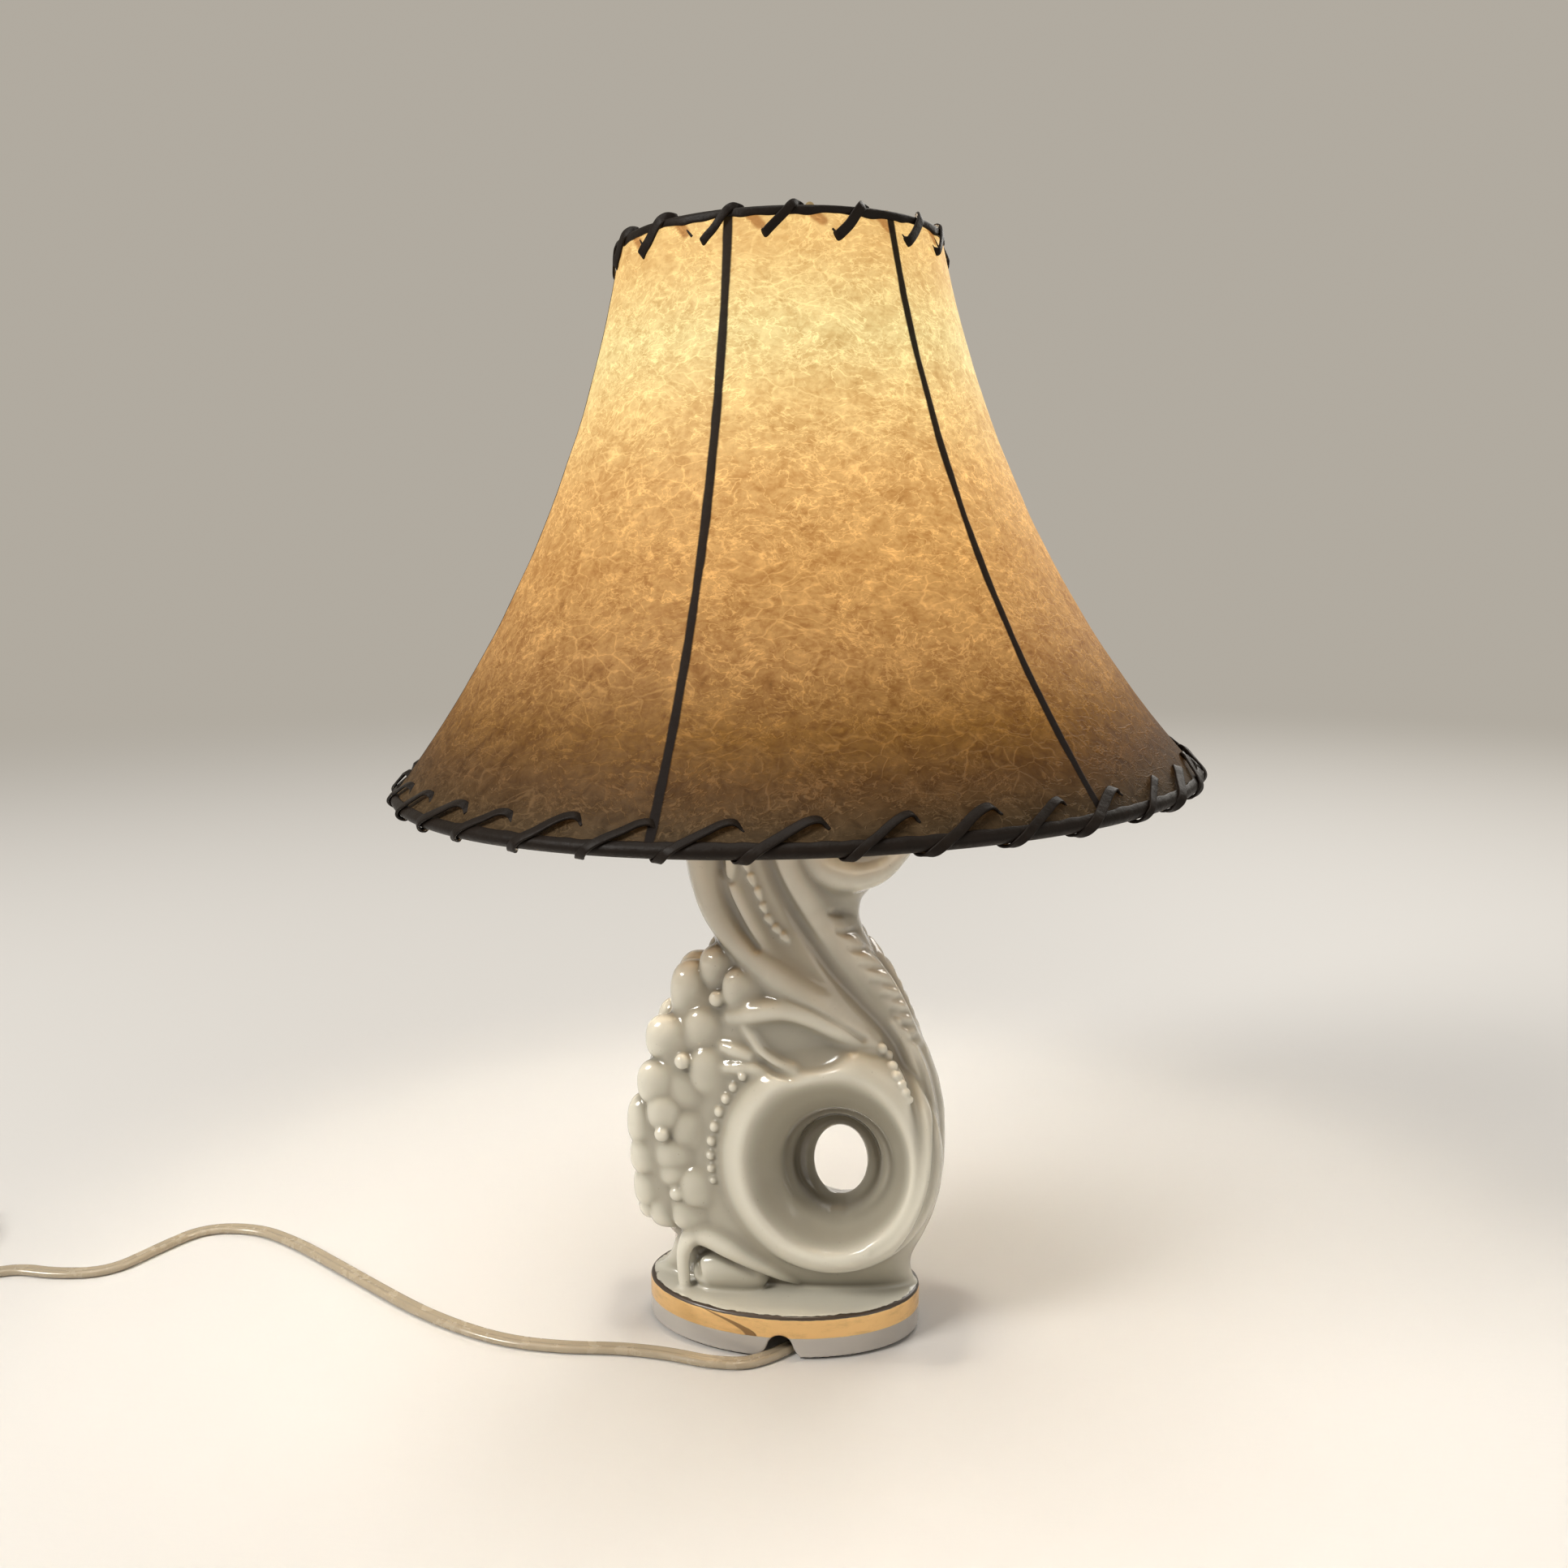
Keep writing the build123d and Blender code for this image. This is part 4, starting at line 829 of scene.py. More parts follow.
    def rib_shadow_lines(self, x: Maths, y: Maths, uneven: Maths) -> Maths:
        """The ribs' painted shadow lines, where they lie behind the lit skin.

        Args:
            x: Metres along the shade's first axis.
            y: Metres along its second.
            uneven: Noise that makes the lines' edges wander.

        Returns:
            1 on a rib's painted shadow, 0 beside it.
        """
        nearest = x * 0 + 1.0
        for azimuth in RIB_AZIMUTHS:
            across = abs(x * math.sin(azimuth) - y * math.cos(azimuth))
            far_side = (x * math.cos(azimuth) + y * math.sin(azimuth)).ramp(0.0, -0.001)
            nearest = nearest.least(across + far_side)
        gap = nearest * PER_MM + (uneven - 0.5) * self.rib_shadow_wander
        return gap.ramp(*(self.rib_shadow_half_width + edge for edge in self.rib_shadow_edge))

    def veins(self, recipe: Recipe, where: bpy.types.NodeSocket) -> Maths:
        """Fine pale crinkles, as stretched skin has them.

        Args:
            recipe: The parchment.
            where: The piece's coordinates.

        Returns:
            1 on a vein, 0 beside it.
        """
        drift = recipe.vector("SCALE", {0: recipe.noise(where, self.drift, 1), "Scale": self.drift_reach})
        bent = recipe.vector("ADD", {0: where, 1: drift})
        flat = recipe.squeezed(bent, self.flattened)
        ridge = abs(recipe.noise(flat, self.ridges) - 0.5).ramp(0.026, 0.0)
        small = abs(recipe.noise(bent, self.small_ridges) - 0.5).ramp(0.040, 0.0)
        net = recipe.cell_walls(flat, self.net_scale).ramp(0.055, 0.0)
        here, there = recipe.noise(where, self.ridge_places), recipe.noise(where, self.small_places)
        return (ridge * here.ramp(0.40, 0.54) + net * here.ramp(0.54, 0.40) * 0.7
                + small * there.ramp(0.42, 0.56) * 0.6).within()


@dataclass(frozen=True)
class Metal:
    """A turned or drawn metal with fine wear."""

    name: str
    colour: Colour
    tarnish: Colour
    roughness: float = 0.28
    scale: float = 160.0

    def make(self) -> bpy.types.Material:
        """Build the metal.

        Returns:
            The material.
        """
        recipe = Recipe(self.name)
        where, _ = recipe.place()
        blotch = recipe.noise(where, Noise(self.scale, 5.0, 0.6))
        scratch = recipe.noise(where, Noise(self.scale * 4, 2.0, squeeze=(1.0, 1.0, 9.0)))
        recipe.feed(Base_Color=recipe.mix(blotch.ramp(0.45, 0.75), self.colour, self.tarnish), Metallic=1.0,
                    Roughness=self.roughness + blotch * 0.18 + scratch * 0.08)
        recipe.bump(scratch, 0.15, 0.0001)
        return recipe.material


@dataclass(frozen=True)
class Plain:
    """A moulded, painted, woven or cut material with grain in its colour, gloss and surface."""

    name: str
    colour: Colour
    second: Colour
    roughness: float = 0.5
    scale: float = 200.0
    bump: float = 0.3
    depth: float = 0.0002
    coat: float = 0.0
    glow: float = 0.0
    fibre: Point3 = (1.0, 1.0, 1.0)
    gloss: float = 0.5

    def make(self) -> bpy.types.Material:
        """Build the material.

        Returns:
            The material.
        """
        recipe = Recipe(self.name)
        where, _ = recipe.place()
        grain = recipe.noise(where, Noise(self.scale, 5.0, 0.62, squeeze=self.fibre))
        patch = recipe.noise(where, Noise(self.scale / 6, 3.0))
        colour = recipe.mix((grain * 0.65 + patch * 0.5 - 0.08).within(), self.colour, self.second)
        recipe.feed(Base_Color=colour, Coat_Weight=self.coat, Roughness=self.roughness + (grain - 0.5) * 0.2,
                    Specular_IOR_Level=self.gloss)
        if self.glow:
            recipe.feed(Emission_Color=colour, Emission_Strength=self.glow)
        recipe.bump(grain, self.bump, self.depth)
        return recipe.material


@dataclass(frozen=True)
class ClearGlass:
    """Thin clear glass."""

    name: str = "stem_glass"
    colour: Colour = (0.93, 0.95, 0.93)
    uneven: Noise = Noise(150.0)

    def make(self) -> bpy.types.Material:
        """Build the glass.

        Returns:
            The material.
        """
        recipe = Recipe(self.name)
        where, _ = recipe.place()
        recipe.feed(Base_Color=self.colour, Transmission_Weight=0.9, IOR=1.5,
                    Roughness=0.03 + recipe.noise(where, self.uneven) * 0.05)
        return recipe.material


class Finish(Enum):
    """Every finish on the lamp."""

    GLAZE = Glaze()
    PARCHMENT = Parchment()
    LEATHER = Plain("leather", (0.004, 0.0026, 0.0018), (0.015, 0.009, 0.0055), 0.46, 420.0, 0.55, 0.0004,
                    gloss=0.13)
    FELT = Plain("felt", (0.012, 0.011, 0.010), (0.040, 0.036, 0.032), 0.95, 1400.0, 0.9, 0.0004)
    BRASS = Metal("brass", (0.80, 0.58, 0.27), (0.52, 0.36, 0.16), 0.22)
    STEEL = Metal("steel", (0.62, 0.61, 0.58), (0.40, 0.37, 0.33), 0.30)
    CAP_METAL = Metal("cap_metal", (0.78, 0.76, 0.70), (0.55, 0.52, 0.46), 0.25)
    FRAME_WIRE = Metal("frame_wire", (0.58, 0.45, 0.24), (0.34, 0.25, 0.14), 0.34)
    TUNGSTEN = Plain("tungsten", (1.0, 0.62, 0.25), (1.0, 0.72, 0.38), 0.5, 300.0, 0.1, 0.0001, 0.0, 3.0)
    PHENOLIC = Plain("phenolic", (0.012, 0.008, 0.006), (0.030, 0.018, 0.012), 0.28, 260.0, 0.12, 0.0001, 0.4)
    CARD = Plain("card", (0.20, 0.13, 0.07), (0.34, 0.24, 0.14), 0.9, 700.0, 0.5, 0.0002, 0.0, 0.0, (1.0, 1.0, 0.2))
    BLACK_GLASS = Plain("black_glass", (0.006, 0.006, 0.008), (0.014, 0.013, 0.016), 0.08, 120.0, 0.05, 0.0001, 1.0)
    FROSTED = Plain("frosted_glass", (1.0, 0.90, 0.72), (1.0, 0.94, 0.80), 0.35, 90.0, 0.08, 0.0001, 0.0, 70.0)
    VINYL = Plain("vinyl", (0.30, 0.245, 0.165), (0.42, 0.35, 0.25), 0.26, 170.0, 0.15, 0.0002, 0.5)
    TIE = Plain("tie", (0.02, 0.02, 0.02), (0.05, 0.05, 0.05), 0.5, 500.0, 0.3)
    STEM_GLASS = ClearGlass()

    def material(self) -> bpy.types.Material:
        """Make the finish's material, or take it when it is made.

        Returns:
            The material.
        """
        if self.name not in _MADE:
            _MADE[self.name] = self.value.make()
        return _MADE[self.name]


_MADE: dict[str, bpy.types.Material] = {}


def dress(thing: bpy.types.Object, finish: Finish) -> None:
    """Put a finish on every slot of a piece.

    Args:
        thing: The piece.
        finish: Its finish.
    """
    if not thing.data.materials:
        thing.data.materials.append(finish.material())
    for place in thing.material_slots:
        place.material = finish.material()


def seat(thing: bpy.types.Object, body: Body, finish: Finish,
         stands_for: Sequence[str]) -> bpy.types.Object:
    """Finish a piece, put it on its body and say which nodes it stands for.

    Args:
        thing: The piece.
        body: What it moves with.
        finish: Its material.
        stands_for: The nodes that it hides.

    Returns:
        The piece.
    """
    dress(thing, finish)
    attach(thing, body.value)
    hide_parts(*stands_for)
    LOG.info("%s rides on %s for %s", thing.name, body.value, ", ".join(stands_for))
    return thing


# ---- ceramic
@dataclass(frozen=True)
class Stroke:
    """A ridge laid on the figure's face, or a groove cut into it, along places given as (x, height).

    Its middle runs as far inside the surface as it is sunk; less than nothing is outside. It has a radius at its
    first end, in its middle and at its last end. The blend is how soft a groove's edges are.
    """

    points: tuple
    sink: float
    radii: Point3
    blend: float = 0.0


@dataclass
class CeramicFigure:
    """The glazed scroll figure with its ring, flowers and folds, in one casting with the plinth."""

    low: Point3 = (-58.2, -31.5, 0.1)
    high: Point3 = (58.2, -0.3, 211.5)
    step: float = 0.6
    fineness: int = 5
    settling: int = 3
    plinth_half: Point2 = (47.4, 29.2)
    plinth_low: float = 1.0
    plinth_top: float = 15.3
    dome: float = 1.0
    plinth_edge: float = 1.6
    # the space under the plinth: wall, ceiling and edge
    foot: Point3 = (5.0, 11.5, 0.6)
    # the notch: its middle, its crown's height and radius, its flare's half width, slant and height, and its back
    mouth_x: float = 2.4
    crown: Point2 = (4.4, 4.2)
    flare: Point3 = (6.6, 0.70, 5.0)
    mouth_back: float = -22.0
    mouth_edge: float = 0.7
    # how softly each form runs into the clay round it
    fold_blend: float = 3.0
    ring_blend: float = 2.2
    petal_blend: float = 1.4
    heart_blend: float = 1.0
    spoon_blend: float = 5.0
    leaf_blend: float = 3.0
    wave_blend: float = 1.4
    bead_blend: float = 0.5
    bowl_blend: float = 1.6
    # height, left side, right side, half depth
    sections: tuple = (
        (8.0, -46.0, 46.2, 9.2), (14.5, -46.0, 46.4, 9.6), (17.5, -42.4, 45.4, 10.8), (21.0, -40.2, 44.2, 12.8),
        (25.0, -39.0, 44.4, 15.2), (29.0, -38.4, 46.0, 17.2), (33.5, -42.4, 48.4, 19.0), (41.0, -47.0, 51.6, 20.4),
        (50.0, -46.4, 54.0, 21.2), (60.0, -47.0, 55.2, 21.6), (70.0, -46.6, 55.4, 21.6), (80.0, -44.4, 55.0, 21.4),
        (90.0, -42.0, 53.0, 21.0), (100.0, -38.6, 49.4, 20.5), (110.0, -33.6, 44.2, 20.0),
        (120.0, -29.0, 38.6, 19.2), (128.0, -25.0, 33.4, 18.4), (134.0, -22.8, 30.0, 17.8),
        (140.0, -24.6, 27.0, 17.2), (146.0, -27.8, 25.2, 17.0), (152.0, -30.6, 26.0, 17.2),
        (158.0, -32.4, 31.4, 17.8), (164.0, -33.4, 37.2, 18.6), (172.0, -33.8, 40.5, 19.6),
        (184.0, -31.5, 36.0, 19.6), (196.0, -22.0, 23.0, 17.0), (204.0, -15.6, 15.6, 14.0),
        (213.0, -14.3, 14.3, 13.3))
    body_top: float = 208.0
    ring_centre: Point2 = (17.4, 66.9)
    ring_half: Point2 = (28.2, 31.6)
    ring_depth: float = 14.8
    ring_radius: Point2 = (9.4, 9.6)
    # painted crease shade: radius that is looked at round a place, how full it is where the shade begins, gain and
    # share
    crease_shading: tuple = ((2.4, 0.38, 2.2, 0.75), (5.4, 0.36, 2.0, 0.7))
    # painted shade in the bowl: how much, how far out in the ring and how far forward, each with its fading
    bowl_shade_share: float = 0.55
    bowl_shade_edge: Point2 = (0.92, 0.4)
    bowl_shade_front: Point2 = (17.0, 12.0)
    # the painted shade is cut to a share on the plinth's top up to the first height above it, and is full from the
    # second
    shade_fade_heights: Point2 = (0.6, 2.6)
    plinth_shade_share: float = 0.25
    bowl_steps: int = 46
    # share from the eye out to the ring's crest, centre x, centre z, half width, half height, depth
    bowl: tuple = (
        (-0.2, 19.8, 58.8, 7.6, 11.0, -3.0), (0.0, 19.8, 59.0, 9.25, 12.7, 0.4), (0.06, 19.7, 59.4, 10.4, 13.7, 2.8),
        (0.3, 19.5, 60.9, 14.4, 16.8, 5.0), (0.34, 19.4, 61.4, 15.3, 17.4, 8.0), (0.4, 19.3, 61.8, 16.4, 18.4, 9.2),
        (0.52, 19.7, 62.3, 18.3, 19.6, 10.2), (0.55, 19.7, 62.5, 19.0, 20.2, 12.2),
        (0.72, 18.9, 63.8, 22.6, 24.4, 16.6), (0.88, 17.9, 65.6, 26.2, 28.8, 21.6),
        (1.0, 17.4, 66.9, 28.6, 32.0, 24.8), (1.15, 17.4, 66.9, 32.5, 35.8, 34.0))
    # heart, then the petals as (x, height, half width, half height)
    flowers: tuple = (
        ((-20.6, 119.5), (
            (-18.6, 128.6, 6.6, 5.9), (-29.8, 118.8, 6.0, 8.2), (-10.8, 123.3, 5.9, 5.5), (-24.2, 107.4, 5.8, 6.3))),
        ((-32.2, 97.8), (
            (-37.2, 103.6, 6.4, 6.0), (-41.0, 88.4, 5.6, 6.0), (-30.4, 86.9, 5.4, 6.2), (-22.6, 94.4, 5.7, 6.8))),
        ((-39.4, 71.8), (
            (-37.9, 79.0, 5.4, 5.4), (-46.4, 73.4, 4.9, 7.0), (-44.8, 61.6, 5.4, 5.8), (-29.9, 73.6, 5.0, 6.2),
            (-34.3, 64.1, 5.8, 5.0))),
        ((-34.5, 50.7), (
            (-33.4, 57.3, 5.4, 3.8), (-43.8, 50.0, 5.6, 6.6), (-26.7, 53.4, 5.3, 6.2), (-38.7, 42.2, 5.2, 5.2),
            (-29.3, 43.5, 5.6, 5.4), (-44.6, 42.6, 4.2, 4.4))),
    )
    petal_swell: float = 1.36
    petal_rise: float = 1.9
    # a petal is thick by the first, and more by the second the nearer it lies to the middle plane
    petal_thick: Point2 = (4.4, 3.6)
    petal_near: Point2 = (14.5, 5.0)
    petal_power: float = 2.5
    heart: Point3 = (2.7, 2.1, 2.7)
    heart_rise: float = 0.9
    # x, height and radius of the bed that the blooms lie on
    bed: tuple = (
        (-17.5, 124.0, 8.0), (-27.0, 111.0, 10.0), (-33.0, 96.0, 11.5), (-38.0, 78.0, 11.5), (-37.5, 62.0, 11.5),
        (-35.5, 49.0, 11.0))
    bed_depth: float = 4.0
    left_crest: Stroke = Stroke((
        (-27.5, 176.0), (-26.2, 167.0), (-21.2, 149.5), (-11.4, 137.8), (4.6, 125.6), (14.6, 119.0), (23.6, 112.6),
        (30.6, 107.8)), 3.2, (5.0, 5.6, 2.6))
    inner_crest: Stroke = Stroke((
        (-13.6, 170.0), (-15.4, 160.5), (-13.0, 155.0), (-9.2, 147.6), (-4.4, 139.6),
        (2.0, 132.4)), 1.8, (2.6, 2.8, 1.2))
    right_crest: Stroke = Stroke((
        (2.6, 178.0), (4.2, 168.0), (8.2, 157.9), (12.6, 147.8), (17.6, 141.0), (24.4, 132.8), (32.4, 123.6),
        (38.6, 114.2), (43.0, 105.4)), 3.2, (5.4, 5.8, 3.0))
    rim_crest: Stroke = Stroke((
        (38.4, 112.0), (42.6, 104.4), (46.6, 94.6), (49.4, 83.0), (50.4, 73.0), (49.8, 62.4), (47.2, 52.4),
        (43.2, 43.6), (39.4, 37.8)), 0.4, (2.0, 2.8, 1.6))
    horn: Stroke = Stroke((
        (10.0, 172.0), (14.0, 166.6), (19.2, 163.6), (25.8, 162.6), (32.4, 164.6),
        (38.0, 169.6)), 2.6, (4.6, 5.6, 4.6))
    main_valley: Stroke = Stroke((
        (-5.0, 176.0), (-2.3, 165.9), (2.2, 155.9), (8.9, 144.7), (17.8, 131.6), (26.8, 121.3), (34.7, 112.4),
        (40.9, 103.4), (45.4, 93.1), (47.8, 82.6), (48.3, 73.2), (47.0, 62.3), (43.8, 52.5), (38.7, 43.7),
        (33.0, 38.4)), -0.9, (2.2, 2.1, 1.4), 2.2)
    left_valley: Stroke = Stroke((
        (-19.6, 174.0), (-19.2, 166.5), (-18.6, 160.8), (-16.6, 153.6), (-12.2, 145.6),
        (-6.6, 138.0)), -0.4, (1.4, 1.7, 0.7), 2.2)
    loop_groove: Stroke = Stroke((
        (-18.8, 167.0), (-18.6, 162.2), (-15.8, 160.0), (-13.2, 162.2), (-12.6, 167.0),
        (-13.0, 174.0)), -0.3, (0.9, 0.9, 0.9), 1.0)
    rim_groove: Stroke = Stroke((
        (37.6, 114.6), (43.8, 105.2), (48.9, 94.8), (51.8, 83.1), (52.8, 74.0), (52.1, 62.7), (49.6, 52.8),
        (45.8, 44.0), (41.4, 36.8)), -0.35, (0.5, 1.2, 0.8), 1.4)
    tears: tuple = (
        (-9.6, 165.3), (-7.8, 160.6), (-5.7, 156.0), (-4.0, 151.4), (-2.2, 147.6), (0.4, 144.4), (3.0, 141.8),
        (5.4, 139.2))
    tear_radii: Point3 = (1.5, 1.25, 0.6)
    tear_length: float = 0.34
    leaf_crest: Stroke = Stroke((
        (-15.2, 114.3), (-11.1, 115.2), (-6.6, 116.8), (2.4, 118.3), (11.4, 116.2), (20.4, 111.8), (26.5, 108.4),
        (30.9, 106.0)), 0.9, (2.0, 3.5, 2.4))
    leaf_low: Stroke = Stroke((
        (-11.2, 113.0), (-8.4, 108.8), (-5.0, 103.8), (0.2, 100.4), (6.0, 98.6)), 0.6, (0.9, 1.2, 0.5))
    leaf_crease: Stroke = Stroke((
        (-6.6, 101.6), (-1.6, 98.6), (4.4, 96.9), (10.4, 96.6)), -0.3, (0.8, 1.0, 0.4), 1.6)
    slit: Stroke = Stroke((
        (2.4, 123.2), (11.4, 119.9), (18.1, 116.3), (23.7, 112.8), (28.8, 109.1)), -0.2, (0.3, 0.8, 1.2), 0.9)
    # x, height, half width; then half depth, half height, and how far its middle stands out
    leaf_hollow: Point3 = (5.6, 107.2, 17.0)
    leaf_spoon: Point3 = (4.2, 9.4, 2.3)
    side_leaves: tuple = (Stroke(((-17.7, 103.9), (-11.4, 102.6), (-5.4, 101.0)), 0.1, (1.0, 1.7, 0.8)),
                          Stroke(((-16.4, 97.2), (-10.2, 98.0), (-3.2, 98.2)), 0.1, (1.0, 1.7, 0.8)))
    bead_rise: float = 0.1
    # x, height and radius of each bead
    tip_beads: tuple = (
        (34.3, 105.2, 2.0), (36.3, 102.8, 1.9), (38.1, 100.4, 1.8), (39.8, 98.0, 1.7), (41.4, 95.5, 1.6),
        (42.8, 93.1, 1.5), (44.0, 90.7, 1.3))
    row_beads: tuple = (
        (-11.1, 95.2, 1.7), (-14.3, 90.9, 1.8), (-16.8, 86.6, 1.9), (-19.2, 81.8, 1.9), (-20.8, 76.4, 1.9),
        (-21.9, 71.4, 1.8), (-22.3, 66.4, 1.7), (-22.1, 61.8, 1.6), (-21.4, 57.6, 1.4))
    # x, height and radius down the wave's crest
    scroll_crest: tuple = (
        (-32.6, 16.0, 2.0), (-33.2, 24.0, 2.2), (-32.3, 30.4, 2.8), (-29.0, 34.8, 4.0), (-23.4, 36.0, 5.1),
        (-16.8, 33.6, 5.2), (-10.7, 29.8, 4.5), (-4.3, 25.8, 3.4), (2.0, 21.6, 2.3), (6.0, 18.6, 0.8))
    scroll_stand: Point2 = (15.0, 11.0)
    scroll_sunk: float = 0.4
    scroll_hollow: Stroke = Stroke((
        (-27.6, 21.0), (-28.4, 25.4), (-26.4, 28.2), (-22.4, 29.0), (-17.4, 27.6), (-12.5, 25.2),
        (-8.2, 22.6)), -0.1, (1.1, 1.5, 0.5), 1.2)
    # x, height, half width; then half depth, half height, and how far its middle stands out
    scroll_tongue: Point3 = (-16.8, 21.2, 13.2)
    tongue_form: Point3 = (4.4, 7.4, 12.2)
    tongue_power: float = 2.4
    # x, height and half length of the ripples down the right edge
    notches: tuple = (
        (21.7, 148.4, 5.2), (25.0, 142.0, 5.6), (28.5, 136.4, 5.4), (31.9, 130.8, 5.0), (35.2, 125.2, 4.6),
        (38.2, 120.2, 4.2), (41.0, 115.2, 3.8), (43.8, 110.4, 3.4), (46.2, 105.6, 3.0))
    notch_slope: Point2 = (0.93, -0.36)
    notch_arch: float = 0.5
    notch_sink: float = -0.4
    notch_radii: Point3 = (0.3, 0.8, 0.5)
    notch_blend: float = 1.8
    shallowest: float = 4.5

    def __post_init__(self) -> None:
        """Set out the block of clay."""
        self.clay = Clay(self.low, self.high, self.step)

    def depth(self, x: Array, z: Array) -> Array:
        """How far the plain mass stands out from the middle plane.

        Args:
            x: Places across the face.
            z: Their heights.

        Returns:
            The depth at each.
        """
        heights, left, right, half = np.array(self.sections).T
        lo, hi, deep = (np.interp(z, heights, column) for column in (left, right, half))
        across = (x - (lo + hi) / 2) / ((hi - lo) / 2)
        return deep * np.sqrt(np.clip(1 - across**2, 0.02, 1))

    def on_surface(self, points: Sequence[Point2], sink: float) -> Array:
        """Put a smooth line on the plain mass, sunk below its surface.

        Args:
            points: Places on the face as (x, height).
            sink: How far inside the surface the line runs.

        Returns:
            Points in space.
        """
        x, z = catmull(points, self.fineness).T
        return np.stack((x, -np.maximum(self.depth(x, z) - sink, 0.0), z), 1)

    def on_clay(self, points: Sequence[Point2], sink: float) -> Array:
        """Put a smooth line on the clay as it is now, sunk below its surface.

        Args:
            points: Places on the face as (x, height).
            sink: How far inside the surface the line runs.

        Returns:
            Points in space.
        """
        line = catmull(points, self.fineness)
        deep = np.maximum([self.surface_at(x, z) for x, z in line], self.shallowest)
        width = 11 if len(line) > 22 else 5  # a longer line is evened out over more points
        kernel = np.hanning(width + 2)[1:-1] / np.hanning(width + 2).sum()
        deep = np.convolve(np.pad(deep, width // 2, "edge"), kernel, "valid")
        return np.stack((line[:, 0], sink - deep, line[:, 1]), 1)

    def surface_at(self, x: float, z: float) -> float:
        """How far the clay stands out from the middle plane.

        Args:
            x: The place across the face.
            z: Its height.

        Returns:
            The depth there.
        """
        values, y = self.clay.values, self.clay.axes[1]
        column = values[round((x - self.low[0]) / self.step), :, round((z - self.low[2]) / self.step)]
        inside = np.flatnonzero(column < 0)
        if not len(inside) or inside[0] == 0:
            return 0.0
        first = inside[0]
        share = column[first - 1] / (column[first - 1] - column[first])
        return float(-(y[first - 1] + share * self.step))

    def ridge(self, part: Array, stroke: Stroke, line: Array) -> None:
        """Put a ridge that swells from both ends to its middle into a part.

        Args:
            part: A field on the clay's grid.
            stroke: The ridge.
            line: Where its middle runs.
        """
        first, middle, last = stroke.radii
        radii = np.interp(np.linspace(0, 1, len(line)), (0, 0.25, 0.7, 1), (first, middle, middle, last))
        self.clay.tube(part, line, radii)

    def groove(self, stroke: Stroke) -> None:
        """Cut a groove into the clay.

        Args:
            stroke: The groove.
        """
        part = self.clay.blank()
        self.ridge(part, stroke, self.on_clay(stroke.points, stroke.sink))
        self.clay.carve(part, stroke.blend)

    def plain_mass(self) -> None:
        """The figure's core: level ellipses that follow the outline."""
        heights, *columns = np.array(self.sections).T
        z = self.clay.axes[2]
        rows, soft = 700, 25
        fine = np.linspace(heights[0], heights[-1], rows)
        kernel = np.hanning(soft) / np.hanning(soft).sum()
        columns = [np.pad(np.interp(fine, heights, column), soft // 2, "edge") for column in columns]
        left, right, half = (np.interp(z, fine, np.convolve(column, kernel, "valid")) for column in columns)
        centre, wide = (left + right) / 2, (right - left) / 2
        x, y, _ = self.clay.places()
        across = (x - centre) / wide
        spare = half**2 * (1 - across**2)
        slope_x = -2 * half**2 * across / wide
        slope_z = (np.gradient(half**2, z) * (1 - across**2) - 2 * half**2 * across
                   * (-np.gradient(centre, z) / wide - across * np.gradient(wide, z) / wide))
        distance = (y * y - spare) / np.sqrt(4 * y * y + slope_x**2 + slope_z**2 + 1.0)
        self.clay.values = np.maximum(distance, z - self.body_top).astype(np.float32)

    def folds(self) -> None:
        """The long drapery folds that run from the shoulder to the ring."""
        part = self.clay.blank()
        for stroke in (self.left_crest, self.right_crest, self.inner_crest, self.rim_crest, self.horn):
            self.ridge(part, stroke, self.on_surface(stroke.points, stroke.sink))
        self.clay.join(part, self.fold_blend)

    def ring(self) -> None:
        """The fat roll about the bowl."""
        part, spare = self.clay.blank(), 16
        (cx, cz), (a, b) = self.ring_centre, self.ring_half
        cut, (x, y, z) = self.clay.window((cx - a - spare, -31, cz - b - spare), (cx + a + spare, 0, cz + b + spare))
        _, plane = oval(x - cx, z - cz, self.ring_half)
        wide, deep = self.ring_radius
        part[cut] = (np.sqrt((plane / wide)**2 + ((y + self.ring_depth) / deep)**2) - 1) * min(wide, deep)
        self.clay.join(part, self.ring_blend)

    def valleys(self) -> None:
        """The grooves between the folds, beside the ring and round the small loop, and the right edge's ripples."""
        for stroke in (self.main_valley, self.left_valley, self.loop_groove, self.rim_groove):
            self.groove(stroke)
        dx, dz = self.notch_slope
        for x, z, half in self.notches:
            points = tuple((x + dx * half * k, z + dz * half * k + self.notch_arch * (1 - k * k))
                           for k in (-1.0, 0.0, 1.0))
            self.groove(Stroke(points, self.notch_sink, self.notch_radii, self.notch_blend))

    def petals(self) -> None:
        """The four blooms on the left side, crowded on a low bed."""
        clay = self.clay
        bed, part, hearts = clay.blank(), clay.blank(), clay.blank()
        x, z, radii = catmull(self.bed, self.fineness).T
        clay.tube(bed, np.stack((x, 0 * x - self.bed_depth, z), 1), radii)
        clay.join(bed, self.fold_blend)
        (thick, more), (near, reach) = self.petal_thick, self.petal_near
        for x, z, wide, tall in (petal for _, petals in self.flowers for petal in petals):
            deep = self.surface_at(x, z)
            half = thick + more * min(max((near - deep) / reach, 0.0), 1.0)
            middle = max(deep + self.petal_rise - half, self.bed_depth)
            clay.blob(part, (x, -middle, z), (wide * self.petal_swell, half, tall * self.petal_swell),
                      self.petal_power)
        for (x, z), _ in self.flowers:
            clay.blob(hearts, (x, -self.surface_at(x, z) - self.heart_rise, z), self.heart)
        clay.join(part, self.petal_blend)
        clay.join(hearts, self.heart_blend)

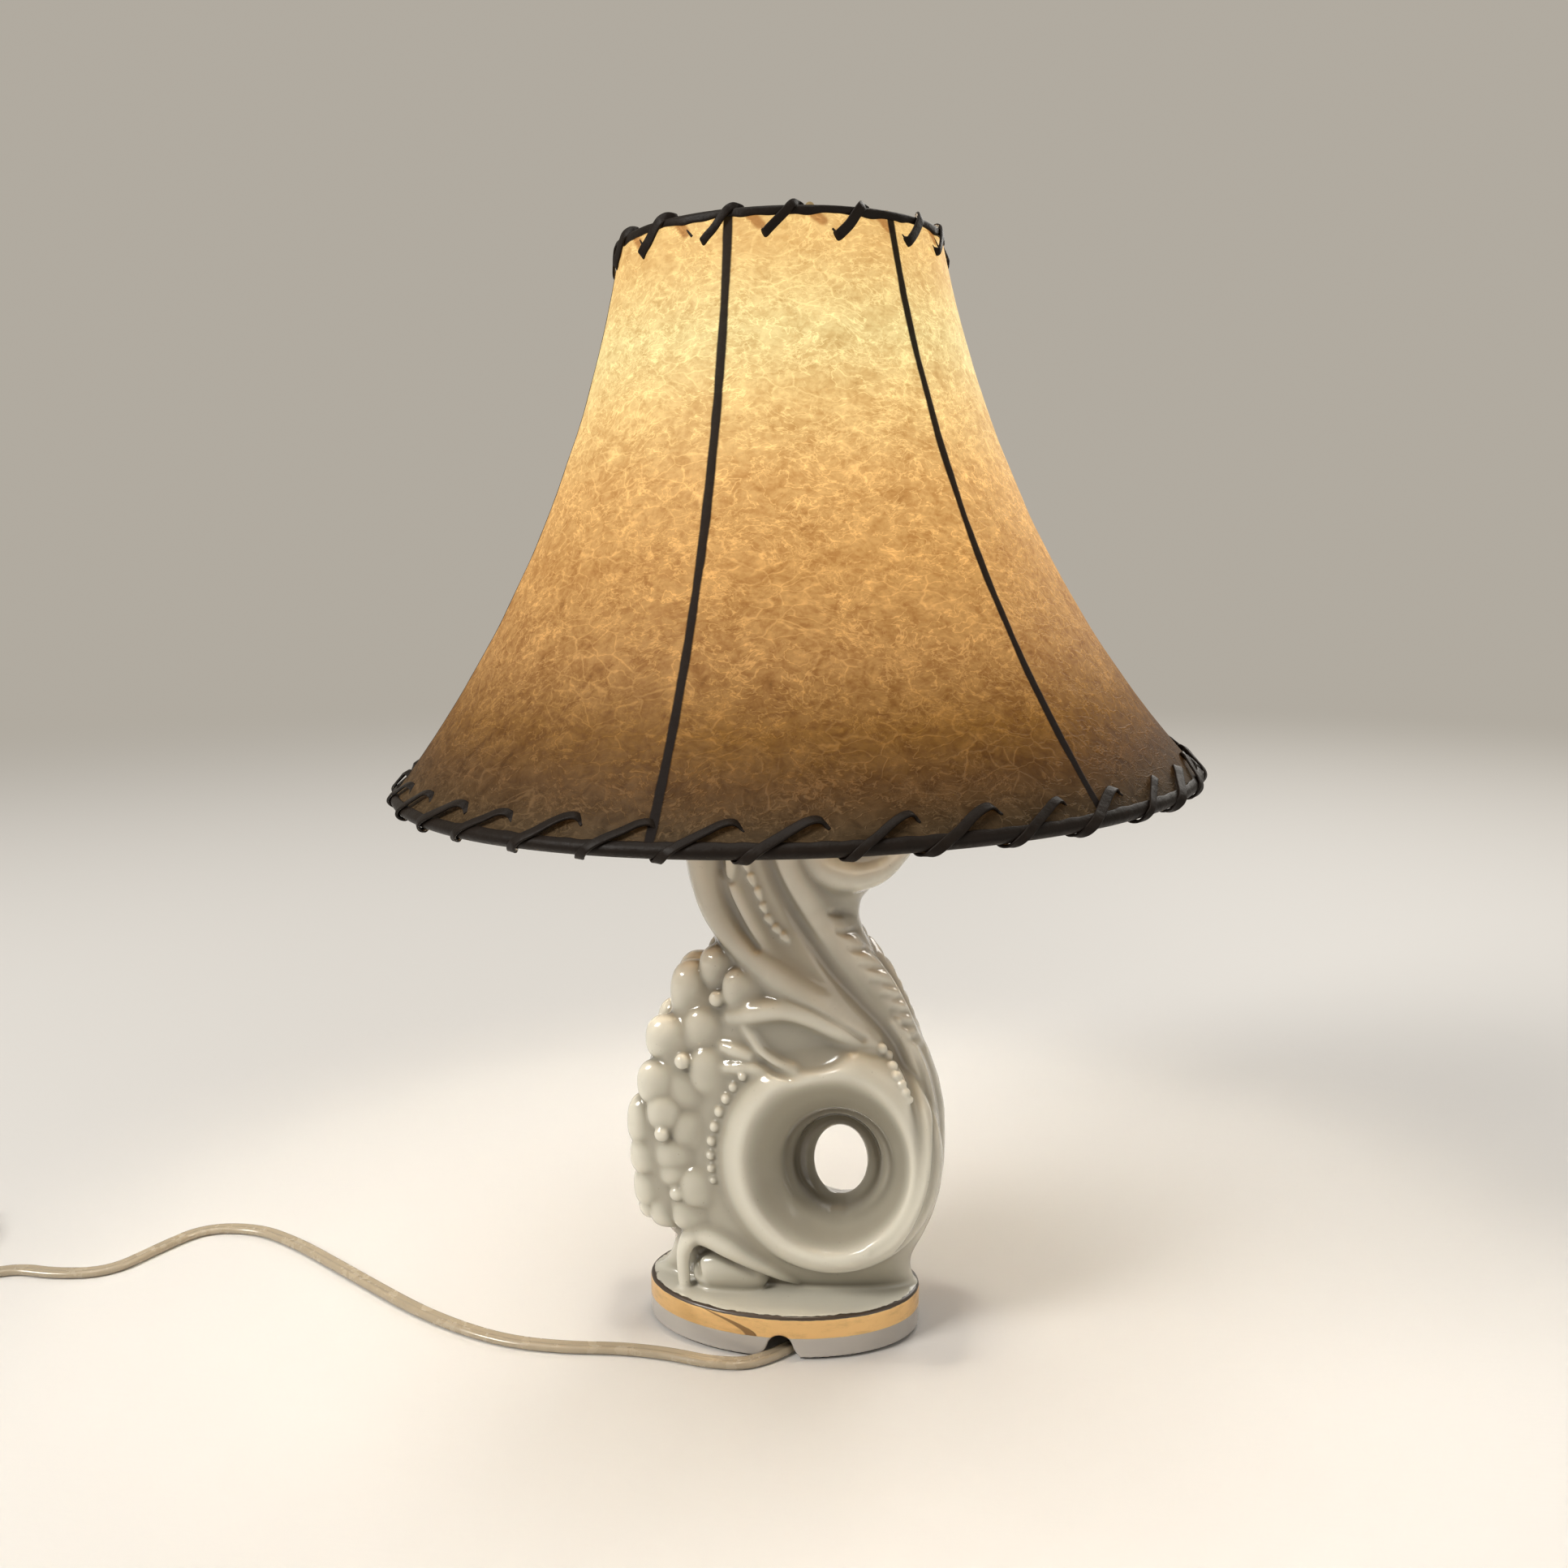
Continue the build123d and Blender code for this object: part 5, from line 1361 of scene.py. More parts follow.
    def leaves(self) -> None:
        """The hollow leaf over the ring, with the slit at its tip, and the small ones beside it."""
        hollow, part = self.clay.blank(), self.clay.blank()
        x, z, wide = self.leaf_hollow
        deep, tall, stand = self.leaf_spoon
        self.clay.blob(hollow, (x, -self.surface_at(x, z) - stand, z), (wide, deep, tall))
        self.clay.carve(hollow, self.spoon_blend)
        for stroke in (self.leaf_crest, self.leaf_low):
            self.ridge(part, stroke, self.on_surface(stroke.points, stroke.sink))
        for stroke in self.side_leaves:
            self.ridge(part, stroke, self.on_clay(stroke.points, stroke.sink))
        self.clay.join(part, self.leaf_blend)
        self.groove(self.slit)
        self.groove(self.leaf_crease)

    def scroll(self) -> None:
        """The breaking wave at the foot of the ring."""
        part, tongue = self.clay.blank(), self.clay.blank()
        radii = catmull([(radius,) for _, _, radius in self.scroll_crest], self.fineness)[:, 0]
        line = self.on_surface([(x, z) for x, z, _ in self.scroll_crest], 0.0)
        first, last = self.scroll_stand
        stand = np.interp(np.linspace(0, 1, len(line)), (0, 0.6, 1), (first, first, last))
        line[:, 1] = np.minimum(line[:, 1], -stand) + radii * self.scroll_sunk
        self.clay.tube(part, line, radii)
        self.clay.join(part, self.wave_blend)
        x, z, wide = self.scroll_tongue
        deep, tall, stand = self.tongue_form
        self.clay.blob(tongue, (x, -stand, z), (wide, deep, tall), self.tongue_power)
        self.clay.join(tongue, self.wave_blend)
        self.groove(self.scroll_hollow)

    def beads(self) -> None:
        """The strings of beads beside the ring and the leaf, and the tear drops on the fold."""
        part = self.clay.blank()
        for x, z, radius in (*self.tip_beads, *self.row_beads):
            self.clay.blob(part, (x, -self.surface_at(x, z) - self.bead_rise, z), (radius, radius, radius))
        for (x, z), (next_x, next_z) in zip(self.tears, self.tears[1:]):
            way = np.array((next_x - x, 0.0, next_z - z)) * self.tear_length
            middle = np.array((x, -self.surface_at(x, z), z))
            self.clay.tube(part, np.array((middle - way, middle, middle + way)), np.array(self.tear_radii))
        self.clay.join(part, self.bead_blend)

    def plinth(self) -> None:
        """The oval foot with its rounded, gently domed top."""
        x, y, z = self.clay.places()
        out, side = oval(x, y, self.plinth_half)
        top = z - self.plinth_top - self.dome * np.clip(1 - out**2, 0, 1)
        foot = smooth_cut(np.maximum(side, -FAR_AWAY), -top, self.plinth_edge)
        self.clay.join(np.maximum(foot, self.plinth_low - z).astype(np.float32), self.plinth_edge)

    def bowl_depth(self) -> Array:
        """The depth of the bowl's surface over the face, measured from the middle plane.

        Returns:
            One depth for each column of the grid.
        """
        share, *columns = np.array(self.bowl).T
        fine = np.linspace(share[0], share[-1], self.bowl_steps)
        knots = [np.interp(fine, share, column)[::-1] for column in columns]
        x, z = self.clay.axes[0][:, None], self.clay.axes[2][None, :]
        beyond = 6.0
        result = np.full((x.size, z.size), knots[4][0] + beyond)
        outer, outer_deep = None, 0.0
        for cx, cz, a, b, deep in zip(*knots):
            out = np.sqrt(((x - cx) / a)**2 + ((z - cz) / b)**2)
            if outer is not None:
                gap = np.where(np.abs(out - outer) < 1e-6, 1, out - outer)
                blend = np.where(out >= 1, np.clip((1 - outer) / gap, 0, 1), 1)
                result = np.where(outer < 1, outer_deep + (deep - outer_deep) * blend, result)
            outer, outer_deep = out, deep
        for axis in (0, 0, 1, 1):
            result = (np.roll(result, 1, axis) + 2 * result + np.roll(result, -1, axis)) / 4
        return result

    def open_bowl(self) -> None:
        """Scoop the bowl out down to the eye, and pierce the eye."""
        deep = self.bowl_depth()
        slope = np.sqrt(1 + sum(g**2 for g in np.gradient(deep, self.step)))
        _, y, _ = self.clay.places()
        self.clay.carve(((deep[:, None, :] + y) / slope[:, None, :]).astype(np.float32), self.bowl_blend)

    def hollow_foot(self) -> None:
        """The space under the plinth that the cord passes through."""
        x, y, z = self.clay.places()
        wall, ceiling, edge = self.foot
        a, b = (half - wall for half in self.plinth_half)
        side = (np.sqrt((x / a)**2 + (y / b)**2) - 1) * b
        self.clay.carve(np.maximum(side, z - ceiling).astype(np.float32), edge)

    def cord_mouth(self) -> None:
        """The bell-shaped notch at the front for the cord."""
        part = self.clay.blank()
        cut, (x, y, z) = self.clay.window((-10, -31.5, 0), (15, -20, 12))
        across = np.abs(x - self.mouth_x)
        (height, radius), (wide, slant, top) = self.crown, self.flare
        crown = np.sqrt(across**2 + (z - height)**2) - radius
        flare = np.maximum(across - (wide - (z - self.plinth_low) * slant), z - top)
        part[cut] = np.maximum(smooth_join(crown, flare, 1.0) + 0 * y, y - self.mouth_back)
        self.clay.carve(part, self.mouth_edge)

    def build(self) -> tuple[Array, Array, Array]:
        """Model the clay.

        Returns:
            Vertices in millimetres, quads, and how much painted shade each vertex gets in creases and the bowl, from
            0 to 1.
        """
        for work in (self.plain_mass, self.folds, self.ring, self.valleys, self.petals, self.leaves, self.scroll,
                     self.beads, self.plinth, self.open_bowl, self.hollow_foot):
            work()
        self.clay = self.clay.with_back()
        self.cord_mouth()
        vertices, quads = self.clay.skin()
        vertices = self.clay.settle(vertices, quads, self.settling)
        places = vertices * self.step + np.array(self.low)
        # painted shade: darker where the clay round a vertex is fuller, as in creases
        recess = sum(np.clip((self.clay.sample(self.clay.crowding(radius), vertices) - start) * gain, 0, 1) * share
                     for radius, start, gain, share in self.crease_shading)
        # less painted shade on the plinth's top, full shade higher up
        pale, full = (self.plinth_top + height for height in self.shade_fade_heights)
        recess *= np.interp(places[:, 2], (pale, full), (self.plinth_shade_share, 1.0))
        return places, quads, np.clip(recess + self.bowl_shade(places), 0, 1)

    def bowl_shade(self, places: Array) -> Array:
        """How much painted shade lies in the bowl.

        Args:
            places: Points in space.

        Returns:
            The amount at each, from 0 to 1.
        """
        (cx, cz), (a, b) = self.ring_centre, self.ring_half
        out = np.sqrt(((places[:, 0] - cx) / a)**2 + ((places[:, 2] - cz) / b)**2)
        # painted shade, strongest inside the ring and towards the middle plane
        (edge, soft), (front, reach) = self.bowl_shade_edge, self.bowl_shade_front
        low = np.clip((front - np.abs(places[:, 1])) / reach, 0, 1)
        return self.bowl_shade_share * np.clip((edge - out) / soft, 0, 1) * low

    def dress(self) -> None:
        """Make the figure and put it in the scene."""
        vertices, quads, recess = self.build()
        thing = piece("ceramic_figure", vertices, quads)
        # the painted shade goes on the vertices for the glaze to read
        mark(thing, "recess", recess)
        seat(thing, Body.BASE, Finish.GLAZE, ["ceramic_body"])


# ---- shade
@dataclass(frozen=True)
class Rim:
    """One rim of the shade, with the leather strip folded over it and the thongs that hold the strip.

    The strip's section is given as (along the skin from the rim, out from it), and a thong's way as (along the
    skin, out from it, degrees round the rim).
    """

    name: str
    share: float
    strip: tuple
    strip_steps: int
    strip_seed: int
    strip_waves: tuple
    thongs: int
    thong_seed: int
    first: float
    stray: float
    width: float
    way: tuple
    stands_for: tuple
    lacing: tuple


TOP_RIM = Rim(
    name="top", share=0.0,
    strip=((0.3, 0.9), (0.5, 2.1), (1.2, 2.85), (2.4, 2.85), (3.1, 2.6), (3.1, 2.0), (2.6, 1.2), (1.9, 0.1),
           (0.9, -0.1)),
    strip_steps=360, strip_seed=21, strip_waves=(11, 19, 33, 52, 71),
    thongs=16, thong_seed=41, first=26.4, stray=0.10, width=2.7,
    way=((7.4, 1.2, -1.8), (8.3, 1.5, -0.8), (8.8, 2.7, 0.2), (7.8, 3.1, 1.6), (5.6, 3.2, 4.2), (3.0, 3.35, 6.8),
         (1.0, 3.2, 8.8), (-0.1, 2.0, 10.4), (0.0, 0.4, 12.0), (1.0, -0.5, 13.8), (3.0, 0.4, 16.4),
         (5.4, 1.1, 19.2), (7.2, 1.2, 21.2)),
    stands_for=("rim_binding_top", "shade_ring_top"), lacing=("lacing_top",))
LOW_RIM = Rim(
    name="low", share=1.0,
    strip=((-0.9, -0.2), (-1.2, 1.2), (-0.8, 2.5), (0.4, 3.1), (1.7, 3.0), (2.3, 2.7), (2.2, 2.1), (1.8, 1.3),
           (1.4, 0.2), (0.4, -0.8)),
    strip_steps=540, strip_seed=31, strip_waves=(13, 29, 47, 83, 121),
    thongs=36, thong_seed=51, first=0.0, stray=0.05, width=2.6,
    way=((6.4, 1.2, 1.6), (7.6, 1.6, 1.0), (8.1, 2.7, 0.2), (7.3, 3.2, -1.0), (5.2, 3.3, -2.6), (2.6, 3.5, -4.3),
         (0.6, 3.65, -5.6), (-1.0, 3.1, -6.6), (-1.75, 1.4, -7.4), (-1.5, -0.5, -8.0), (0.2, -1.5, -8.6),
         (2.2, -0.6, -9.0), (4.6, 1.0, -9.2), (6.6, 1.2, -9.0)),
    stands_for=("rim_binding_bottom", "shade_ring_bottom"), lacing=("lacing_bottom",))


@dataclass
class Shade:
    """The laced bell: parchment, bound rims and thongs, modelled upright and then leant over."""

    top: Point2 = (47.6, 360.2)
    low: Point2 = (126.9, 193.2)
    sag: float = 11.0
    # the skin's two faces, as distances out from the side's curve, and where it starts and stops along it
    outer: float = 2.25
    inner: float = 1.65
    top_start: float = 1.0
    low_stop: float = 0.3
    edge: float = 10.0
    panel_sink: float = 0.024
    panel_belly: float = 0.3
    # the skin's unevenness: seed, waves to a turn, slant down the side, height
    broad_ripple: tuple = (4, (7, 11, 17), 3.0, 0.22)
    fine_ripple: tuple = (5, (19, 27, 38), -5.0, 0.10)
    rows: int = 110
    edge_rows: int = 16
    columns: int = 600
    # a thong behind the lit skin: how far down it is seen, its half width and how soft its edges are
    lace_seen: float = 9.6
    lace_half_width: float = 1.75
    lace_soft: float = 0.7
    thong_thickness: float = 0.8

    def __post_init__(self) -> None:
        """Work out the side's arc."""
        top, low = np.array(self.top), np.array(self.low)
        chord = low - top
        length = float(np.linalg.norm(chord))
        self.along = chord / length
        self.out = np.array((-self.along[1], self.along[0]))
        self.radius = (length**2 / 4 + self.sag**2) / (2 * self.sag)
        self.centre = (top + low) / 2 + self.out * (self.radius - self.sag)
        self.half = math.asin(length / 2 / self.radius)

    def side(self, share: Array, offset: float) -> Array:
        """Find points on the side's curve.

        Args:
            share: Places down the side, from 0 to 1.
            offset: How far out from the curve.

        Returns:
            Points as (radius, height).
        """
        angle = (2 * np.asarray(share, float)[..., None] - 1) * self.half
        way = -self.out * np.cos(angle) + self.along * np.sin(angle)
        return self.centre + (self.radius - offset) * way

    def rim_frame(self, rim: Rim) -> tuple[Array, Array, Array]:
        """Find how a rim lies.

        Args:
            rim: The rim.

        Returns:
            Its ring, the way out from it, and the way along the skin, each as (radius, height).
        """
        ring = self.side(np.array(rim.share), 0.0)
        out = self.side(np.array(rim.share), 1.0) - ring
        along = np.array((out[1], -out[0]))
        return ring, out, -along if (along[1] > 0) == (rim is TOP_RIM) else along

    def turned(self, profile: Array, azimuth: Array) -> Array:
        """Points in space from (radius, height) pairs and azimuths."""
        return np.stack((profile[..., 0] * np.cos(azimuth), profile[..., 0] * np.sin(azimuth),
                         profile[..., 1] + 0 * azimuth), -1)

    def pull(self, share: Array, azimuth: Array) -> Array:
        """How far the skin lies inside the ribs between them.

        Args:
            share: Places down the side, from 0 to 1.
            azimuth: Angles round the shade.

        Returns:
            A factor on the skin's radius.
        """
        starts = np.sort(np.mod(RIB_AZIMUTHS, FULL_TURN))
        stops = np.append(starts[1:], starts[0] + FULL_TURN)
        turn = np.mod(azimuth - starts[0], FULL_TURN) + starts[0]
        gap = np.searchsorted(stops, turn, side="right") % len(starts)
        part = (turn - starts[gap]) / (stops - starts)[gap]
        bow = (1 - (2 * part - 1)**2) * ((stops - starts)[gap] / (math.pi / 3))**2
        hang = np.sin(np.pi * np.clip(share, 0, 1))**0.7
        return 1 - self.panel_sink * bow * hang

    def skin(self) -> tuple[Array, Array]:
        """The stretched parchment as a thin closed shell.

        Returns:
            Vertices and quads.
        """
        length = 2 * self.half * self.radius
        first, last, edge = self.top_start / length, 1 - self.low_stop / length, self.edge / length
        share = np.concatenate((np.linspace(first, edge, self.edge_rows, endpoint=False),
                                np.linspace(edge, last, self.rows)))
        outside = np.arange(2 * len(share))[:, None] < len(share)
        share = np.concatenate((share, share[::-1]))[:, None]
        azimuth = np.linspace(0, FULL_TURN, self.columns, endpoint=False)[None, :] + 0 * share
        profile = self.side(share[:, 0], 0.0)
        lift = self.side(share[:, 0], 1.0) - profile
        offset = np.where(outside, self.outer, self.inner)
        profile = profile[:, None] + lift[:, None] * offset[..., None] + 0 * azimuth[..., None]
        broad, fine = (wobble(azimuth + slant * share, seed, waves) * height
                       for seed, waves, slant, height in (self.broad_ripple, self.fine_ripple))
        swell = np.sin(np.pi * share)
        profile[..., 0] = profile[..., 0] * self.pull(share, azimuth) + (broad * swell + fine)
        profile[..., 0] -= self.panel_belly * swell
        self.behind = self.thong_shadow_mask(share * length, azimuth) * outside
        return self.turned(profile, azimuth).reshape(-1, 3), grid_quads(len(share), self.columns, True, True)

    def thong_shadow_mask(self, down: Array, azimuth: Array) -> Array:
        """Where a thong passes behind the skin at the small rim, for its painted shadow.

        Args:
            down: Millimetres along the skin from the rim.
            azimuth: Angles round the shade.

        Returns:
            1 over a hidden thong, 0 elsewhere.
        """
        nearest = np.full(azimuth.shape, 99.0)
        for at, way, _, _ in self.ways(TOP_RIM):
            line = catmull([row for row in way if row[1] < 1.15 and row[2] > 12], 4)
            for (t0, _, a0), (t1, _, a1) in zip(line, line[1:]):
                across = (np.mod(azimuth - at - math.radians(a0) + math.pi, FULL_TURN) - math.pi) * self.top[0]
                run = np.array((t1 - t0, math.radians(a1 - a0) * self.top[0]))
                share = np.clip(((down - t0) * run[0] + across * run[1]) / (run @ run), 0, 1)
                nearest = np.minimum(nearest, np.hypot(down - t0 - share * run[0], across - share * run[1]))
        return np.clip((self.lace_half_width - nearest) / self.lace_soft, 0, 1) * (down < self.lace_seen)

    def binding(self, rim: Rim) -> tuple[Array, Array]:
        """A leather strip folded over a rim.

        Args:
            rim: The rim.

        Returns:
            Vertices and quads.
        """
        ring, out, along = self.rim_frame(rim)
        turn = np.linspace(0, FULL_TURN, rim.strip_steps, endpoint=False)
        outline = catmull(rim.strip, 4, True)
        even = wobble(turn, rim.strip_seed, (5, 9, 14, 23))[:, None]
        edge = wobble(turn, rim.strip_seed + 1, rim.strip_waves)[:, None]
        down, stand = outline.T[:, None]
        reach = down * np.where(down > 0.5, 1 + 0.30 * edge + 0.08 * even, 1 + 0.10 * even)
        lift = stand * (1 + 0.05 * even + 0.06 * edge)
        profile = ring + along * reach[..., None] + out * lift[..., None]
        vertices = self.turned(profile, turn[:, None] + 0 * reach)
        quads = grid_quads(len(turn), outline.shape[0], True, True)
        return vertices.reshape(-1, 3), quads if rim is TOP_RIM else quads[:, ::-1]

    def ways(self, rim: Rim) -> list[tuple[float, Array, float, float]]:
        """Where every thong of a rim goes, each a little different.

        Args:
            rim: The rim.

        Returns:
            The hole's azimuth, the way, the width and the twist of each.
        """
        rng = np.random.default_rng(rim.thong_seed)
        found = []
        for n in range(rim.thongs):
            azimuth = math.radians(rim.first) + FULL_TURN * (n + rng.normal() * rim.stray) / rim.thongs
            way = np.array(rim.way)
            way[:, 0] += np.where(way[:, 0] > 4.0, rng.uniform(-0.6, 0.6), 0.0)
            way[:, 2] += np.linspace(0.0, 1.0, len(way)) * rng.normal() * 0.6
            found.append((azimuth, way, rim.width * rng.uniform(0.86, 1.14), rng.normal() * 0.10))
        return found

    def wind(self, rim: Rim, azimuth: float, way: Array, width: float,
             twist: float) -> tuple[Array, Array, list[list[int]]]:
        """Wind one thong over a rim.

        Args:
            rim: The rim.
            azimuth: Where the thong's hole is.
            way: Where it goes, as in the rim's own way.
            width: The thong's width.
            twist: How far the strip is rolled about its own line, in radians.

        Returns:
            What sweep gives.
        """
        ring, out, along = self.rim_frame(rim)
        line = catmull(way, 7)
        down, stand = line[:, :1], line[:, 1:2]
        azimuths = azimuth + np.radians(line[:, 2])
        path = self.turned(ring + along * down + out * stand, azimuths)
        slack = np.where(down < 0, down, 0.15 * down)
        ups = self.turned(unit(along * slack + out * stand), azimuths)
        side = np.cross(unit(np.gradient(path, axis=0)), ups)
        ups = unit(ups) * math.cos(twist) + unit(side) * math.sin(twist)
        return sweep(path, ups, rounded_strip(width, self.thong_thickness), False)

    def lace(self, rim: Rim) -> tuple[Array, Array, list[list[int]]]:
        """Wind all thongs round a rim.

        Args:
            rim: The rim.

        Returns:
            Vertices, quads and caps.
        """
        vertices, quads, caps, start = [], [], [], 0
        for thong in self.ways(rim):
            points, faces, ends = self.wind(rim, *thong)
            vertices.append(points)
            quads.append(faces + start)
            caps += [[k + start for k in end] for end in ends]
            start += len(points)
        return np.vstack(vertices), np.vstack(quads), caps

    def dress(self) -> None:
        """Make the shade's pieces and put them in the scene."""
        skin = piece("shade_parchment", *self.skin())
        mark(skin, "behind", self.behind)
        made = [(skin, "parchment", Finish.PARCHMENT, ("shade_skin",))]
        for rim in (TOP_RIM, LOW_RIM):
            made.append((piece(f"binding_{rim.name}", *self.binding(rim)), "binding", Finish.LEATHER, rim.stands_for))
        for rim in (TOP_RIM, LOW_RIM):
            made.append((piece(f"thongs_{rim.name}", *self.lace(rim)), "binding", Finish.LEATHER, rim.lacing))
        for thing, slot, finish, nodes in made:
            thing.matrix_world = lean_matrix()
            seat(thing, Body.SHADE, finish, nodes)


# ---- cord
@dataclass
class Cord:
    """The flat twin cord: out of the notch, along the table, into a tied coil, and its plug."""

    width: float = 5.3
    thickness: float = 2.7
    height: float = 1.40
    length: float = 1.80
    exit: Point3 = (5.8, -22.0, 1.40)
    route: tuple = (
        (5.8, -22.0), (-3.6, -34.0), (-18.8, -35.8), (-34.0, -32.4), (-51.0, -31.4), (-70.0, -33.4),
        (-89.0, -32.6), (-107.0, -27.4), (-127.0, -18.4), (-149.0, -5.2), (-172.0, 9.2), (-194.0, 22.6),
        (-215.0, 31.6), (-236.0, 28.5), (-244.5, 11.5), (-252.5, -7.5), (-272.0, -11.5), (-289.0, -9.5),
        (-304.0, -20.0), (-319.0, -31.0),
    )
    coil_centre: Point2 = (-352.0, -10.0)
    coil_radius: float = 29.0
    column_pitch: float = 5.7
    layer_pitch: float = 2.9
    turns: float = 7 + 1 / 3
    step_turns: float = 0.34
    coil_start: float = -60.0
    per_turn: int = 16
    tail: float = 24.0
    # the plug: where its cord enters, how far its grip starts before that, its height and its ribs
    plug_entry: Point2 = (-386.7, 20.0)
    plug_overlap: float = 6.0
    plug_middle: float = 7.05
    plug_ribs: int = 5
    rib_pitch: float = 3.2
    plug_round: float = 0.55
    plug_columns: int = 40

    def ease(self, value: float) -> float:
        """A smooth step about zero."""
        share = min(max(value / self.step_turns + 0.5, 0.0), 1.0)
        return share * share * (3 - 2 * share)

    def control(self) -> list[Point3]:
        """Lay the cord's route, its coil and its tail.

        Returns:
            The points that the cord's spline follows.
        """
        points = [(x, y, self.height) for x, y in self.route]
        count = round(self.turns * self.per_turn)
        for k in range(count + 1):
            t = self.turns * k / count
            inward = self.ease(t - 1) + self.ease(t - 2) - self.ease(t - 4) - self.ease(t - 5)
            radius = self.coil_radius + self.column_pitch * (1 - inward)
            lift = self.height + self.layer_pitch * (self.ease(t - 3) + self.ease(t - 6))
            angle = math.radians(self.coil_start - 360 * t)
            points.append((self.coil_centre[0] + radius * math.cos(angle),
                           self.coil_centre[1] + radius * math.sin(angle), lift))
        last = points[-1]
        return points + [(last[0], last[1] + self.tail * share, last[2]) for share in (0.35, 0.7, 1.0)]

    def line(self) -> Array:
        """Read the spline.

        Returns:
            Its own points in metres.
        """
        curve = bpy.data.curves.new("cord_line", "CURVE")
        curve.dimensions = "3D"
        curve.resolution_u = 6
        spline = curve.splines.new("NURBS")
        control = self.control()
        spline.points.add(len(control) - 1)
        for place, (x, y, z) in zip(spline.points, control):
            place.co = (x * MM, y * MM, z * MM, 1.0)
        spline.order_u = 3
        spline.use_endpoint_u = True
        holder = bpy.data.objects.new("cord_line", curve)
        bpy.context.scene.collection.objects.link(holder)
        bpy.context.view_layer.update()
        mesh = bpy.data.meshes.new_from_object(holder)
        points = np.array([tuple(v.co) for v in mesh.vertices])
        bpy.data.meshes.remove(mesh)
        bpy.data.objects.remove(holder)
        bpy.data.curves.remove(curve)
        return points

    def section(self) -> Array:
        """Two round conductors side by side with a web between them.

        Returns:
            Points as (across, up), anticlockwise.
        """
        radius = self.thickness / 2
        side = self.width / 2 - radius
        rows = []
        for middle, first, last in ((side, -0.72, 0.72), (-side, 0.28, 1.72)):
            for angle in np.linspace(first * math.pi, last * math.pi, 13):
                rows.append((middle + radius * math.cos(angle), radius * math.sin(angle)))
        return np.array(rows)

    def plug(self) -> bpy.types.Object:
        """The moulded plug: a ribbed grip that narrows to the cord.

        Returns:
            The piece.
        """
        # distance along, half width, half height
        stations = [(0.0, 3.0, 2.0), (1.0, 4.2, 3.2), (5.0, 4.6, 4.2), (6.5, 7.6, 5.6), (9.0, 10.4, 6.6)]
        for k in range(self.plug_ribs):
            stations += [(start + self.rib_pitch * k, wide, high)
                         for start, wide, high in ((10.0, 11.2, 6.9), (11.0, 10.2, 6.0), (12.2, 10.2, 6.0))]
        stations += [(26.2, 11.4, 6.9), (31.6, 11.9, 6.95), (32.8, 11.3, 6.4), (33.0, 10.4, 5.6)]
        count = self.plug_columns
        angles = np.linspace(0, FULL_TURN, count, endpoint=False)
        across, up = (np.sign(way) * np.abs(way)**self.plug_round for way in (np.cos(angles), np.sin(angles)))
        x, y = self.plug_entry
        rings = [np.stack((x + wide * across, np.full(count, y - self.plug_overlap + along),
                           self.plug_middle + high * up), 1) for along, wide, high in stations]
        total = len(rings) * count
        return piece("plug_moulding", np.vstack(rings), grid_quads(len(rings), count, False, True),
                     [range(count - 1, -1, -1), range(total - count, total)])

    def dress(self) -> None:
        line = self.line()
        ups = np.tile((0.0, 0.0, 1.0), (len(line), 1))
        cord = piece("flat_cord", *sweep(line / MM, ups, self.section(), False))
        seat(cord, Body.BASE, Finish.VINYL, ["cord_run", "cord_coil", "cord_tail"])
        plug = seat(self.plug(), Body.BASE, Finish.VINYL, ["plug_body"])


# ---- fittings
@dataclass(frozen=True)
class Fittings:
    """The solids that keep their own shape, and the finish of each."""

    finishes: tuple = (
        (Finish.FELT, ("felt_pad",)),
        (Finish.STEEL, ("nipple", "nipple_washer", "nipple_lock_nut", "socket_set_screw", "switch_shaft",
                        "filament_supports", "clip_wires", "clip_hub", "clip_post")),
        (Finish.BRASS, ("vase_cap", "socket_cap", "socket_shell", "screw_shell", "centre_contact",
                        "terminal_screws", "finial", "plug_blades")),
        (Finish.PHENOLIC, ("cord_bushing", "socket_core", "switch_knob")),
        (Finish.CARD, ("socket_liner",)),
        (Finish.VINYL, ("inner_lead",)),
        (Finish.TIE, ("cord_tie",)),
        (Finish.FROSTED, ("bulb_glass",)),
        (Finish.CAP_METAL, ("bulb_screw_base",)),
        (Finish.BLACK_GLASS, ("bulb_insulator",)),
        (Finish.STEM_GLASS, ("bulb_stem",)),
        (Finish.TUNGSTEN, ("filament",)),
        (Finish.FRAME_WIRE, ("shade_ribs", "spider_arms", "spider_washer")),
    )

    def dress(self) -> None:
        """Give each solid its finish."""
        for finish, nodes in self.finishes:
            for node in nodes:
                dress(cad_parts[node], finish)
                LOG.info("%s is finished in %s", node, finish.name.lower())


# ---- studio
@dataclass(frozen=True)
class SoftLight:
    """A square soft light: where it hangs and what it looks at in metres, its side, watts and colour."""

    name: str
    place: Point3
    aim: Point3
    size: float
    watts: float
    colour: Colour

    def hang(self) -> None:
        """Put the light in the scene."""
        data = bpy.data.lights.new(self.name, "AREA")
        data.size, data.energy, data.color = self.size, self.watts, self.colour
        light = bpy.data.objects.new(self.name, data)
        light.location = self.place
        light.rotation_euler = (Vector(self.aim) - Vector(self.place)).to_track_quat("-Z", "Y").to_euler()
        bpy.context.scene.collection.objects.link(light)


